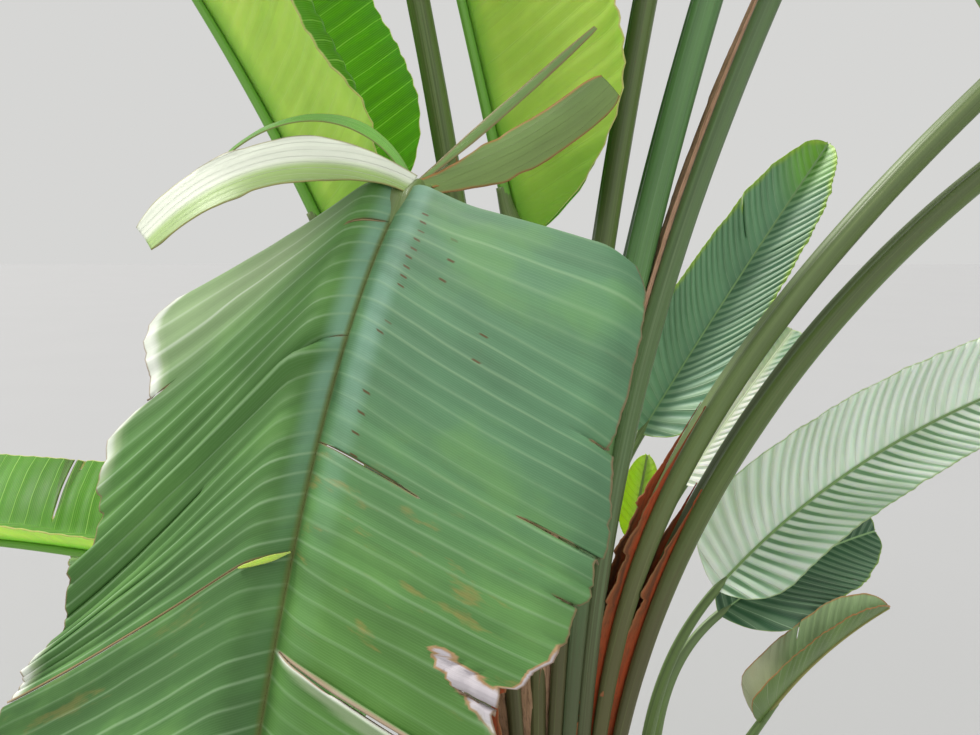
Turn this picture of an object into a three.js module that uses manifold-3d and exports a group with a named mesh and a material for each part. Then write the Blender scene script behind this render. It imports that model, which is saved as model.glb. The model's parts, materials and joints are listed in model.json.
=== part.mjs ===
// Travellers palm: a young clump with a short flat-sided stem, a fan of ten big paddle leaves and,
// from the same root, two groups of small sucker leaves behind it.
// Millimetres, +Z up. The origin is the middle of the flat cut at ground level. The fan lies in the
// X-Z plane, its two ranks to -X and +X, and the old leaf that hangs forward comes out towards -Y.
import * as THREE from "three";
import Module from "manifold-3d";

const wasm = await Module();
wasm.setup();

// Driving dimensions
const CLEAR = 0.3; // the gap between two pieces that meet
const STEM_HEIGHT = 400; // ground to the flat fork that the leaf stalks stand on
const STEM_TOP = { halfX: 118, halfY: 72 };
const STEM_WAIST = { halfX: 108, halfY: 82, z: 230 };
const STEM_FLARE = { halfX: 172, halfY: 140 };
const FLARE_HEIGHT = 55; // over which the root flare dies away
const STEM_LEVELS = [0, 18, 45, 85, 130, 180, 235, 290, 345, STEM_HEIGHT];
const RING_RELIEF = 0.02; // how far the rings left by old sheaths stand out, as a share
const SQUARENESS = 3; // how far the stem's section is from an ellipse, which is 2
const FOOT_PITCH = 22; // from one nested stalk foot to the next, along X
const SUCKER_PITCH = 17;

// A stalk's half width and half thickness at its flat foot, part of the way up and at its tip
const STALK = { foot: [56, 10.7], mid: [30, 15], tip: [18, 15], midAt: 0.5, sides: 8, steps: 9 };
const SUCKER_STALK = { foot: [30, 7.6], mid: [12, 9], tip: [8, 8], midAt: 0.5, sides: 6, steps: 6 };
const STALK_HANDLES = [0.38, 0.38]; // how strongly the curve keeps its two ends' lean
const FOOT_SQUARENESS = 5;
const STALK_SQUARENESS = 2.2;

// Blades
const VEIN_SWEEP = 0.23; // how far a vein runs towards the tip for each millimetre away from the rib
const BLADE_THICKNESS_SHARE = 0.0102; // of the blade's length
const BASE_ROUND_SHARE = 0.13; // of the blade's length, where its base widens
const TIP_ROUND_SHARE = 0.2; // of the blade's length, where its tip narrows
const LEAST_HALF_WIDTH = 16; // of a blade at its two ends
const BLADE_TAPER = 0.1; // how much narrower the blade is towards its tip, as a share
const END_CROWDING = 0.75; // how far the rows of a blade crowd towards its ends, from 0 to 1
const RIB_HALF_WIDTH_SHARE = 0.008; // of the blade's length
const LEAST_RIB_HALF_WIDTH = 8;
const KEEL_DEPTH_SHARE = 1.5; // of the rib's half width, at the base
const KEEL_TIP_DEPTH = 2;
const TEAR_START = 0.15; // how open a tear is where it starts, in columns of the sheet
const RIB_BEND = 9; // how fast a half that bends away from its rib reaches its outer angle
const ARC_PARTS = 8; // the short steps that a curve is added up in

// Two short stubs of stem, sunk in the root flare, that carry the suckers' leaves
const STUBS = {
  right: { x: 158, y: 150, height: 190, halfX: 52, halfY: 40 },
  left: { x: -150, y: 140, height: 170, halfX: 40, halfY: 36 },
};
const STUB_SPREAD = 0.35; // how much wider a stub is at the ground, as a share
const STUB_SPREAD_HEIGHT = 40;
const STUB_SQUARENESS = 2.6;

const COLOURS = {
  stem: "#6d6444",
  stalkOlive: "#7c8450",
  stalkBlue: "#6f8f7c",
  stalkBrown: "#87784e",
  bladeBright: "#8fb84a",
  bladeGreen: "#557a45",
  bladeGrey: "#61826e",
  bladeDark: "#33502f",
  bladePale: "#8cb096",
  bladeOlive: "#8a8f5a",
};

// Each leaf of the fan. footX is where its stalk stands on the fork, footLean and baseLean are the
// stalk's lean from upright at its two ends, base is where the blade starts, heading is the compass
// direction that the blade leans to (0 is +X, 180 is -X, 270 is -Y), tipLean is the lean at the
// blade's tip, fold is how far each half rises from flat, and roll turns the blade on its rib.
// A tear is [half, share of the length, gap at the margin, first column that it cuts].
// Some leaves add to this: handles (how strongly the stalk's curve keeps the lean of its foot and
// of its tip), footHeading, stalkLean and stalkHeading (the way the stalk sets off and arrives,
// where this isn't the blade's), tipHeading (the blade's heading at its tip), ease (how early on the
// blade takes up its tip's lean), rightShare and leftShare (of halfWidth), right and left (a half's
// rise near the rib, further out and what its curled margin adds) and baseRound.
const FAN = {
  right_1: {
    footX: 4.5 * FOOT_PITCH, rank: 0, footLean: 2, base: [802, -20, 1635], baseLean: 57,
    handles: [0.34, 0.26],
    tipLean: 100, length: 1450, halfWidth: 300, fold: 40, stalk: "stalkOlive",
    blade: "bladeGreen", tears: [[1, 0.55, 34], [1, 0.8, 22], [-1, 0.7, 30]],
  },
  right_2: {
    footX: 3.5 * FOOT_PITCH, rank: 0, footLean: 1, base: [714, -8, 1709], baseLean: 46,
    handles: [0.3, 0.52],
    tipLean: 84, length: 1500, halfWidth: 305, fold: 42, stalk: "stalkOlive",
    blade: "bladeGreen", tears: [[-1, 0.6, 30], [1, 0.75, 26]],
  },
  right_3: {
    footX: 2.5 * FOOT_PITCH, rank: 0, footLean: 1, base: [443, 0, 2049], baseLean: 25,
    tipLean: 54, length: 1600, halfWidth: 310, fold: 44, stalk: "stalkBlue",
    blade: "bladeGreen", tears: [[1, 0.66, 26]],
  },
  right_4: {
    footX: 1.5 * FOOT_PITCH, rank: 0, footLean: 1, base: [338, 0, 2140], baseLean: 17,
    tipLean: 40, tipHeading: 4, length: 1620, halfWidth: 310, fold: 45, stalk: "stalkBlue",
    blade: "bladeGreen", tears: [[-1, 0.62, 26]],
  },
  right_5: {
    footX: 0.5 * FOOT_PITCH, rank: 0, footLean: 1, base: [219, 0, 2201], baseLean: 11,
    tipLean: 26, tipHeading: -6, length: 1600, halfWidth: 300, fold: 46, stalk: "stalkBrown",
    blade: "bladeGreen", tears: [[1, 0.74, 24]],
  },
  left_5: {
    footX: -0.5 * FOOT_PITCH, rank: 180, footLean: 0, base: [-42, 0, 1430], baseLean: 13,
    handles: [0.5, 0.12],
    tipLean: 16, length: 1560, halfWidth: 300, fold: 45, stalk: "stalkOlive",
    blade: "bladeBright", tears: [],
  },
  left_4: {
    footX: -1.5 * FOOT_PITCH, rank: 180, footLean: 3, base: [-263, 0, 2121], baseLean: 12,
    tipLean: 30, tipHeading: 185, length: 1600, halfWidth: 300, fold: 45, stalk: "stalkBrown",
    blade: "bladeGreen", tears: [[1, 0.6, 26]],
  },
  left_3: {
    footX: -2.5 * FOOT_PITCH, rank: 180, footLean: 6, base: [-322, 0, 1400], baseLean: 24,
    tipLean: 50, length: 1560, halfWidth: 305, fold: 45, stalk: "stalkOlive",
    blade: "bladeBright", tears: [[1, 0.7, 24]],
  },
  front: {
    footX: -3.75 * FOOT_PITCH, rank: 180, footLean: 22, footHeading: 255, base: [-182, -430, 1494],
    stalkLean: 90, stalkHeading: 262, handles: [0.38, 0.2], heading: 242.8, tipHeading: 257.5,
    baseLean: 133, tipLean: 162, ease: 0.2, roll: -6.4, length: 1400, halfWidth: 325,
    rightShare: 0.957, leftShare: 1.046, right: [37, 10, -13], left: [43, -24, 6], baseRound: 0.035,
    stalk: "stalkOlive", blade: "bladeGrey",
    tears: [[1, 0.055, 14, 1], [1, 0.45, 44, 1], [-1, 0.4, 22, 3], [-1, 0.6, 26, 3], [1, 0.78, 34, 2]],
  },
  left_1: {
    footX: -5 * FOOT_PITCH, rank: 180, footLean: 22, base: [-520, 40, 866], baseLean: 78,
    tipLean: 104, heading: 176, length: 1400, halfWidth: 225, fold: 26, stalk: "stalkOlive",
    blade: "bladeBright", tears: [[1, 0.42, 40], [-1, 0.5, 36], [1, 0.72, 30]],
  },
};

// Strips torn off the front leaf at its base, which keep to the end of its stalk: lean and heading
// from the root to the tip, how early the bend comes, and the turn of the strip on its own line.
const TORN_STRIPS = [
  { start: [-177, -435, 1499], lean: [59, 137], heading: [190, 183], bend: 0.83, length: 320,
    halfWidth: 27, turn: [-30, 10] },
  { start: [-182, -430, 1505], lean: [23, 132], heading: [149, 170], bend: 0.78, length: 290,
    halfWidth: 9, turn: [0, 0] },
  { start: [-168, -435, 1496], lean: [77, 51], heading: [27, 27], bend: 0.87, length: 280,
    halfWidth: 25, turn: [60, 70] },
  { start: [-174, -430, 1499], lean: [53, 51], heading: [32, 32], bend: 1, length: 320,
    halfWidth: 9, turn: [60, 60] },
];
const STRIP_THICKNESS = 5;
const STRIP_STEPS = 9;
const STRIP_ROOT = { share: 0.35, over: 0.4 }; // how narrow a strip starts, and for how long
const STRIP_POINT = 0.85; // how far its tip narrows

// The suckers' leaves, smaller and turned more freely. stub names the stub that they stand on.
const SUCKERS = {
  sucker_right_1: {
    stub: "right", foot: -2.5, rank: 0, footLean: 2, base: [200, 300, 1060], heading: 0,
    baseLean: 30, tipLean: 33, length: 640, halfWidth: 96, fold: 24, roll: 62,
    stalk: "stalkOlive", blade: "bladeDark",
  },
  sucker_right_2: {
    stub: "right", foot: -0.5, rank: 0, footLean: 6, base: [262, 188, 990], heading: 4,
    baseLean: 33, tipLean: 36, length: 340, halfWidth: 58, fold: 30, roll: 55,
    stalk: "stalkOlive", blade: "bladeBright",
  },
  sucker_right_3: {
    stub: "right", foot: 0.5, rank: 0, footLean: 8, base: [331, 200, 786], heading: -4,
    baseLean: 38, tipLean: 81, length: 960, halfWidth: 150, rightShare: 0.84, fold: 16, roll: 74,
    stalk: "stalkOlive", blade: "bladePale",
  },
  sucker_right_4: {
    stub: "right", foot: 1.5, rank: 0, footLean: 12, base: [352, 262, 712], heading: 12,
    baseLean: 54, tipLean: 78, length: 330, halfWidth: 90, fold: 22, roll: 62,
    stalk: "stalkOlive", blade: "bladeDark",
  },
  sucker_right_5: {
    stub: "right", foot: 2.5, rank: 0, footLean: 24, base: [424, 200, 522], heading: -10,
    baseLean: 30, tipLean: 54, length: 330, halfWidth: 62, fold: 34, roll: 48,
    stalk: "stalkOlive", blade: "bladeOlive",
  },
  sucker_right_6: {
    stub: "right", foot: -1.5, rank: 0, footLean: 2, base: [164, 130, 900], heading: 0,
    baseLean: 6, tipLean: 10, length: 160, halfWidth: 36, fold: 20, roll: 70,
    stalk: "stalkOlive", blade: "bladeBright",
  },
  sucker_left_1: {
    stub: "left", foot: 1, rank: 180, footLean: 3, base: [-255, 270, 920], heading: 170,
    baseLean: 22, tipLean: 44, length: 560, halfWidth: 110, fold: 30, roll: -30,
    stalk: "stalkOlive", blade: "bladeDark",
  },
  sucker_left_2: {
    stub: "left", foot: 0, rank: 180, footLean: 10, base: [-430, 290, 662], heading: 176,
    baseLean: 56, tipLean: 92, length: 520, halfWidth: 105, fold: 26, roll: -40,
    stalk: "stalkOlive", blade: "bladeGreen",
  },
  sucker_left_3: {
    stub: "left", foot: -1, rank: 180, footLean: 16, base: [-360, 340, 440], heading: 140,
    baseLean: 56, tipLean: 96, length: 520, halfWidth: 105, fold: 30, roll: 0,
    stalk: "stalkOlive", blade: "bladeOlive",
  },
};

const radians = THREE.MathUtils.degToRad;
const clamp01 = (x) => Math.min(1, Math.max(0, x));
const mix = (a, b, t) => a + (b - a) * t;
const smooth = (t) => clamp01(t) ** 2 * (3 - 2 * clamp01(t));

/** The unit vector that leans from upright by lean degrees towards the compass heading. */
function direction(lean, heading) {
  const [l, h] = [radians(lean), radians(heading)];
  return new THREE.Vector3(Math.sin(l) * Math.cos(h), Math.sin(l) * Math.sin(h), Math.cos(l));
}

/** The frame of a blade: along is the rib's way, face the upper side's normal, side across. */
function frame(lean, heading, roll) {
  const along = direction(lean, heading);
  const face = direction(lean - 90, heading);
  const side = new THREE.Vector3().crossVectors(along, face);
  const turn = new THREE.Quaternion().setFromAxisAngle(along, radians(roll));
  return { along, face: face.applyQuaternion(turn), side: side.applyQuaternion(turn) };
}

/** Rings of equal vertex count, joined into a closed body with a fan of triangles on each end. */
function skin(rings) {
  const n = rings[0].length;
  const points = rings.flat();
  const faces = [];
  for (let i = 0; i + 1 < rings.length; i++)
    for (let j = 0; j < n; j++) {
      const [a, b] = [i * n + j, i * n + ((j + 1) % n)];
      faces.push([a, b, b + n], [a, b + n, a + n]);
    }
  const last = (rings.length - 1) * n;
  for (let j = 1; j + 1 < n; j++) {
    faces.push([0, j + 1, j]);
    faces.push([last, last + j, last + j + 1]);
  }
  return { points, faces };
}

/** A sheet of points and faces, given its thickness above and below and walls along its edges. */
function thicken(sheet, above, below) {
  const normals = sheet.points.map(() => new THREE.Vector3());
  for (const [a, b, c] of sheet.faces) {
    const [p, q, r] = [sheet.points[a], sheet.points[b], sheet.points[c]];
    const cross = q.clone().sub(p).cross(r.clone().sub(p));
    for (const k of [a, b, c]) normals[k].add(cross);
  }
  normals.forEach((v) => v.normalize());
  const n = sheet.points.length;
  const points = [
    ...sheet.points.map((p, k) => p.clone().addScaledVector(normals[k], above(k))),
    ...sheet.points.map((p, k) => p.clone().addScaledVector(normals[k], -below(k))),
  ];
  const faces = [];
  const edges = new Map();
  for (const [a, b, c] of sheet.faces) {
    faces.push([a, b, c], [a + n, c + n, b + n]);
    for (const [u, v] of [[a, b], [b, c], [c, a]]) edges.set(u + "," + v, [u, v]);
  }
  for (const [u, v] of edges.values())
    if (!edges.has(v + "," + u)) faces.push([u, v + n, v], [u, u + n, v + n]);
  return { points, faces };
}

function geometryOf({ points, faces }) {
  return new THREE.BufferGeometry().setFromPoints(points).setIndex(faces.flat());
}

function solidOf({ points, faces }) {
  const vertProperties = new Float32Array(points.flatMap((p) => p.toArray()));
  const triVerts = new Uint32Array(faces.flat());
  return new wasm.Manifold(new wasm.Mesh({ numProp: 3, vertProperties, triVerts }));
}

/** Joins overlapping bodies into one, cuts it clear of another and keeps its largest piece. */
function join(bodies, cutter) {
  let solid = bodies.map(solidOf).reduce((a, b) => a.add(b));
  if (cutter) solid = solid.subtract(solidOf(cutter));
  const largest = solid.decompose().reduce((a, b) => (a.volume() > b.volume() ? a : b));
  const joined = largest.getMesh();
  const geometry = new THREE.BufferGeometry();
  geometry.setAttribute("position", new THREE.BufferAttribute(joined.vertProperties, 3));
  return geometry.setIndex(new THREE.BufferAttribute(joined.triVerts, 1));
}

/** A level ring of a rounded oblong, n points, at height z. */
function oblong(halfX, halfY, z, x, y, n, squareness) {
  const power = 2 / squareness;
  return Array.from({ length: n }, (_, k) => {
    const angle = (2 * Math.PI * k) / n;
    const [c, s] = [Math.cos(angle), Math.sin(angle)];
    return new THREE.Vector3(
      x + halfX * Math.sign(c) * Math.abs(c) ** power,
      y + halfY * Math.sign(s) * Math.abs(s) ** power,
      z,
    );
  });
}

/** The stem: root flare, waist and flat fork, with rings left by old sheaths, and its stubs. */
function stemGeometry() {
  const trunkSides = 28;
  const stubSides = 16;
  const ends = [0, STEM_HEIGHT];
  const trunk = STEM_LEVELS.map((z, k) => {
    const flare = Math.exp(-z / FLARE_HEIGHT);
    const up = smooth((z - STEM_WAIST.z) / (STEM_HEIGHT - STEM_WAIST.z));
    const relief = ends.includes(z) ? 1 : 1 + (k % 2 ? RING_RELIEF : -RING_RELIEF);
    const bodyX = mix(STEM_WAIST.halfX, STEM_TOP.halfX, up);
    const bodyY = mix(STEM_WAIST.halfY, STEM_TOP.halfY, up);
    const halfX = relief * mix(bodyX, STEM_FLARE.halfX, flare);
    const halfY = relief * mix(bodyY, STEM_FLARE.halfY, flare);
    return oblong(halfX, halfY, z, 0, 0, trunkSides, mix(SQUARENESS, 2, flare));
  });
  const stubs = Object.values(STUBS).map((stub) =>
    [0, 30, 80, stub.height].map((z) => {
      const spread = 1 + STUB_SPREAD * Math.exp(-z / STUB_SPREAD_HEIGHT);
      const [halfX, halfY] = [stub.halfX * spread, stub.halfY * spread];
      return oblong(halfX, halfY, z, stub.x, stub.y, stubSides, STUB_SQUARENESS);
    }),
  );
  return join([skin(trunk), ...stubs.map(skin)]);
}

/** Where a leaf's stalk stands, on the fork or on its stub. */
function footOf(leaf) {
  if (!leaf.stub) return new THREE.Vector3(leaf.footX, 0, STEM_HEIGHT + CLEAR);
  const stub = STUBS[leaf.stub];
  return new THREE.Vector3(stub.x + leaf.foot * SUCKER_PITCH, stub.y, stub.height + CLEAR);
}

/** The stalk: a nested sheath foot that narrows and rounds to the tip where the blade starts.
    grown is how much larger it is all round, when it serves to cut its neighbour clear. */
function stalkBody(leaf, grown = 0) {
  const foot = footOf(leaf);
  const base = new THREE.Vector3(...leaf.base);
  const start = direction(leaf.footLean, leaf.footHeading ?? leaf.rank);
  const endHeading = leaf.stalkHeading ?? leaf.heading ?? leaf.rank;
  const end = frame(leaf.stalkLean ?? leaf.baseLean, endHeading, leaf.roll ?? 0);
  const reaches = (leaf.handles ?? STALK_HANDLES).map((h) => h * foot.distanceTo(base));
  const curve = new THREE.CubicBezierCurve3(
    foot,
    foot.clone().addScaledVector(start, reaches[0]),
    base.clone().addScaledVector(end.along, -reaches[1]),
    base,
  );
  const footSide = frame(0, leaf.rank, 0).side;
  const sizes = leaf.stub ? SUCKER_STALK : STALK;
  const turned = 0.9; // where along the stalk it has turned to face as its blade does
  const rings = [];
  for (let i = 0; i <= sizes.steps; i++) {
    const t = i / sizes.steps;
    const centre = curve.getPointAt(t);
    const along = curve.getTangentAt(t);
    const side = footSide.clone().lerp(end.side, smooth(t / turned));
    side.addScaledVector(along, -side.dot(along)).normalize();
    const under = new THREE.Vector3().crossVectors(along, side);
    const low = smooth(t / sizes.midAt);
    const high = clamp01((t - sizes.midAt) / (1 - sizes.midAt));
    const [wide, thick] = [0, 1].map((k) =>
      t < sizes.midAt
        ? mix(sizes.foot[k], sizes.mid[k], low)
        : mix(sizes.mid[k], sizes.tip[k], high),
    );
    const power = 2 / mix(FOOT_SQUARENESS, STALK_SQUARENESS, low);
    rings.push(
      Array.from({ length: sizes.sides }, (_, k) => {
        const angle = (2 * Math.PI * (k + 0.5)) / sizes.sides;
        const [c, s] = [Math.cos(angle), Math.sin(angle)];
        const p = centre.clone();
        p.addScaledVector(side, (wide + grown) * Math.sign(c) * Math.abs(c) ** power);
        p.addScaledVector(under, (thick + grown) * Math.sign(s) * Math.abs(s) ** power);
        if (i === sizes.steps) p.addScaledVector(along, grown);
        if (i === 0) p.addScaledVector(along, (foot.z - p.z) / along.z);
        return p;
      }),
    );
  }
  return skin(rings);
}

/** How wide half a blade is at a share u of its length, as a share of its widest. */
function outline(u, baseRound) {
  const base = u < baseRound ? Math.sqrt(1 - (1 - u / baseRound) ** 2) : 1;
  const late = (u - 1 + TIP_ROUND_SHARE) / TIP_ROUND_SHARE;
  const tip = late > 0 ? Math.sqrt(Math.max(0, 1 - late ** 2)) : 1;
  return base * tip * (1 - BLADE_TAPER * u);
}

/** The line of a blade's rib: its place and frame at each of the given shares of its length. */
function ribLine(leaf, shares) {
  const heading = leaf.heading ?? leaf.rank;
  const tipHeading = leaf.tipHeading ?? heading;
  const decay = (u) => 1 - Math.exp(-u / leaf.ease);
  const lay = (u) => {
    const eased = leaf.ease ? decay(u) / decay(1) : u;
    const lean = mix(leaf.baseLean, leaf.tipLean, eased);
    return frame(lean, mix(heading, tipHeading, u), leaf.roll ?? 0);
  };
  const place = new THREE.Vector3(...leaf.base).addScaledVector(lay(0).along, CLEAR);
  const stations = [];
  let at = 0;
  for (const u of shares) {
    for (let k = 0; k < ARC_PARTS; k++) {
      const middle = at + ((u - at) * (k + 0.5)) / ARC_PARTS;
      place.addScaledVector(lay(middle).along, ((u - at) * leaf.length) / ARC_PARTS);
    }
    at = u;
    stations.push({ u, place: place.clone(), ...lay(u) });
  }
  return stations;
}

/** The angle at which a half blade stands to flat, at a share of its width out from the rib. */
function rise(leaf, half, out) {
  const [near, far, curl] = half < 0 ? leaf.right ?? [] : leaf.left ?? [];
  if (near === undefined) return leaf.fold;
  return far + (near - far) * Math.exp(-out * RIB_BEND) + curl * out ** 2;
}

/** A blade: a thin sheet folded on its rib, torn between some veins, with the rib's keel below. */
function bladeBody(leaf, rows, columns) {
  const shares = Array.from({ length: rows }, (_, i) => {
    const t = i / (rows - 1);
    return mix(t, (1 - Math.cos(Math.PI * t)) / 2, END_CROWDING);
  });
  const stations = ribLine(leaf, shares);
  const thickness = leaf.length * BLADE_THICKNESS_SHARE;
  const ribHalf = Math.max(LEAST_RIB_HALF_WIDTH, leaf.length * RIB_HALF_WIDTH_SHARE);
  const tears = (leaf.tears ?? []).map(([half, u, gap, from]) => {
    const distance = shares.map((share) => Math.abs(share - u));
    return { half, row: distance.indexOf(Math.min(...distance)), gap, from: from ?? 1 };
  });
  const points = [];
  const index = new Map();
  const halfWidths = shares.map((u) =>
    [-1, 1].map((half) => {
      const widest = leaf.halfWidth * (half < 0 ? leaf.rightShare ?? 1 : leaf.leftShare ?? 1);
      return Math.max(LEAST_HALF_WIDTH, widest * outline(u, leaf.baseRound ?? BASE_ROUND_SHARE));
    }),
  );

  // One point of the sheet. part is -1 or 1 where a tear gives the place two edges, else 0.
  const point = (i, half, j, part) => {
    const tear = tears.find((t) => t.row === i && t.half === half && j >= t.from);
    const key = [i, j ? half : 0, j, tear ? part : 0].join();
    if (index.has(key)) return index.get(key);
    const s = stations[i];
    const width = halfWidths[i][half < 0 ? 0 : 1];
    const p = s.place.clone();
    if (j > 0) {
      const inner = Math.min(ribHalf, width / 2);
      const reach = inner + ((width - inner) * (j - 1)) / columns;
      for (let k = 0; k < ARC_PARTS; k++) {
        const out = (reach * (k + 0.5)) / ARC_PARTS / leaf.halfWidth;
        const a = radians(rise(leaf, half, out));
        p.addScaledVector(s.side, (half * Math.cos(a) * reach) / ARC_PARTS);
        p.addScaledVector(s.face, (Math.sin(a) * reach) / ARC_PARTS);
      }
      const opened = tear ? (j - tear.from + TEAR_START) / (columns + 1 - tear.from) : 0;
      p.addScaledVector(s.along, reach * VEIN_SWEEP + (tear ? (part * tear.gap * opened) / 2 : 0));
    }
    points.push(p);
    index.set(key, points.length - 1);
    return points.length - 1;
  };

  const faces = [];
  for (let i = 0; i + 1 < rows; i++)
    for (const half of [-1, 1])
      for (let j = 0; j <= columns; j++) {
        const [a, b] = [point(i, half, j, 1), point(i, half, j + 1, 1)];
        const [c, d] = [point(i + 1, half, j + 1, -1), point(i + 1, half, j, -1)];
        if (half > 0) faces.push([a, c, b], [a, d, c]);
        else faces.push([a, b, c], [a, c, d]);
      }
  const depth = (u) => mix(ribHalf * KEEL_DEPTH_SHARE, KEEL_TIP_DEPTH, u);
  const keel = new Map(stations.map((s, i) => [point(i, 1, 0, 0), depth(s.u)]));
  const above = () => thickness / 2;
  const below = (k) => thickness / 2 + (keel.get(k) ?? 0);
  return thicken({ points, faces }, above, below);
}

/** One torn strip: a narrow ribbon that bends and turns, pointed at its far end. */
function stripBody(strip) {
  const place = new THREE.Vector3(...strip.start);
  const points = [];
  const faces = [];
  for (let i = 0; i <= STRIP_STEPS; i++) {
    const t = i / STRIP_STEPS;
    const lean = mix(strip.lean[0], strip.lean[1], t ** strip.bend);
    const heading = mix(strip.heading[0], strip.heading[1], t);
    const { side } = frame(lean, heading, mix(strip.turn[0], strip.turn[1], t));
    const root = mix(STRIP_ROOT.share, 1, smooth(t / STRIP_ROOT.over));
    const half = strip.halfWidth * root * Math.sqrt(1 - STRIP_POINT * t ** 4);
    for (const edge of [-half, half]) points.push(place.clone().addScaledVector(side, edge));
    const middle = (i + 0.5) / STRIP_STEPS;
    const way = direction(
      mix(strip.lean[0], strip.lean[1], middle ** strip.bend),
      mix(strip.heading[0], strip.heading[1], middle),
    );
    place.addScaledVector(way, strip.length / STRIP_STEPS);
    if (i < STRIP_STEPS) faces.push([2 * i, 2 * i + 2, 2 * i + 3], [2 * i, 2 * i + 3, 2 * i + 1]);
  }
  const edge = () => STRIP_THICKNESS / 2;
  return thicken({ points, faces }, edge, edge);
}

const plant = new THREE.Group();

function addPiece(name, geometry, colour, roughness) {
  const finish = new THREE.MeshStandardMaterial({ color: colour, roughness, metalness: 0 });
  const piece = new THREE.Mesh(geometry, finish);
  piece.name = name;
  plant.add(piece);
}

addPiece("stem", stemGeometry(), COLOURS.stem, 0.9);
for (const [name, leaf] of Object.entries({ ...FAN, ...SUCKERS })) {
  const [rows, columns] = name === "front" ? [22, 4] : leaf.stub ? [9, 2] : [13, 2];
  addPiece("petiole_" + name, geometryOf(stalkBody(leaf)), COLOURS[leaf.stalk], 0.55);
  const blade = bladeBody(leaf, rows, columns);
  const whole =
    name === "front"
      ? join([blade, ...TORN_STRIPS.map(stripBody)], stalkBody(leaf, CLEAR))
      : geometryOf(blade);
  addPiece("blade_" + name, whole, COLOURS[leaf.blade], 0.5);
}

export default plant;
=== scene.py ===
"""The looks of a young travellers palm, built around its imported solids.

Blades, ribs, stalks, dry sheath margins and the ringed stem are laid by a few node trees along the
same lines as the solids that they stand for. Lengths are in metres and angles in degrees. A lean is
measured from upright, and a heading turns from +X (0) towards +Y (90).
"""

from __future__ import annotations

import json
import logging
import math
from dataclasses import dataclass, field, replace
from enum import Enum, IntEnum
from functools import cache
from typing import Any, Callable, Optional, Sequence, Union

import bpy
import numpy as np
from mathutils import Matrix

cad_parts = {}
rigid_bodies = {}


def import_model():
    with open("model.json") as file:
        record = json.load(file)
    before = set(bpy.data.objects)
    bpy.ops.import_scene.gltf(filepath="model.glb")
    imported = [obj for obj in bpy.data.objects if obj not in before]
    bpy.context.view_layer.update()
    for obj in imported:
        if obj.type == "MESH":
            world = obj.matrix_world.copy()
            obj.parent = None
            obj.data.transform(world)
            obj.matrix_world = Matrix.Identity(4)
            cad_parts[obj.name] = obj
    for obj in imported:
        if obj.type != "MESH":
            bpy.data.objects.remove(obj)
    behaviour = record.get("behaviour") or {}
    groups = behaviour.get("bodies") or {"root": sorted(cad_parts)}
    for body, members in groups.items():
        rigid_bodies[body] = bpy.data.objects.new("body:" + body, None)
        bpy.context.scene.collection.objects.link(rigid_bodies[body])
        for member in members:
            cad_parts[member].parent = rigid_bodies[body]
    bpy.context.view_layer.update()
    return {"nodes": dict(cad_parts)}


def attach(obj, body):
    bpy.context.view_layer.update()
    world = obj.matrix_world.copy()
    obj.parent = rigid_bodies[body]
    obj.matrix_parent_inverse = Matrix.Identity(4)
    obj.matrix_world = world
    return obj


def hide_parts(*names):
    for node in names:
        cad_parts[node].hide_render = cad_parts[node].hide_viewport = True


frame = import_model()
log = logging.getLogger("travellers_palm")

Array = np.ndarray
Point = tuple[float, float, float]
Colour = tuple[float, float, float, float]

TURN = 2.0 * math.pi
FIELD = "FLOAT_VECTOR"
CLEAR = 0.0003
STEM_HEIGHT = 0.4
FOOT_PITCH = 0.022
SUCKER_PITCH = 0.017
VEIN_SWEEP = 0.23
BASE_ROUND = 0.13
TIP_ROUND = 0.2
BLADE_TAPER = 0.1
LEAST_HALF_WIDTH = 0.016
VEIN_SPACING = 0.027
SHOULDER = 0.035
RIB_STEPS = 160
STALK_STEPS = 120
CURVE_STEPS = 400
RUN_OUT_STEPS = 12
STRIP_STEPS = 110
SHEET_WELD = 0.00001
LIMB_WELD = 0.00002
MARGIN_PIECE = 0.085
RING_PITCH = 0.05
NO_END = 9.0


# Small mathematics


def mix(a: Any, b: Any, t: Any) -> Any:
    """The value at share t of the way from a to b."""
    return a + (b - a) * t


def smooth(t: Any) -> Any:
    """A soft step from 0 at t = 0 to 1 at t = 1."""
    held = np.clip(t, 0.0, 1.0)
    return held * held * (3.0 - 2.0 * held)


def unit(vector: Array) -> Array:
    """The vector at length 1."""
    return vector / np.linalg.norm(vector)


def direction(lean: float, heading: float) -> Array:
    """The unit vector that leans from upright towards a heading."""
    flat, up, turn = math.sin(math.radians(lean)), math.cos(math.radians(lean)), math.radians(heading)
    return np.array([flat * math.cos(turn), flat * math.sin(turn), up])


@dataclass(frozen=True)
class Axes:
    """Where a limb or blade faces at one place: its way, its upper face and its side."""

    along: Array
    face: Array
    side: Array


def axes(lean: float, heading: float, roll: float = 0.0) -> Axes:
    """The axes of a blade.

    Args:
        lean: How far its rib leans from upright.
        heading: Where its rib leans to.
        roll: How far the blade is turned on its rib.

    Returns:
        Its along, face and side vectors.
    """
    along, face = direction(lean, heading), direction(lean - 90.0, heading)
    side, turn = np.cross(along, face), math.radians(roll)
    turned = [v * math.cos(turn) + np.cross(along, v) * math.sin(turn) for v in (face, side)]
    return Axes(along, *turned)


UPRIGHT = Axes(*np.array([[0.0, 0.0, 1.0], [0.0, -1.0, 0.0], [1.0, 0.0, 0.0]]))


def srgb(code: str) -> Colour:
    """The linear colour of a six-digit hexadecimal colour code."""
    values = [int(code[k : k + 2], 16) / 255.0 for k in (0, 2, 4)]
    return (*(v / 12.92 if v <= 0.04045 else ((v + 0.055) / 1.055) ** 2.4 for v in values), 1.0)


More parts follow.
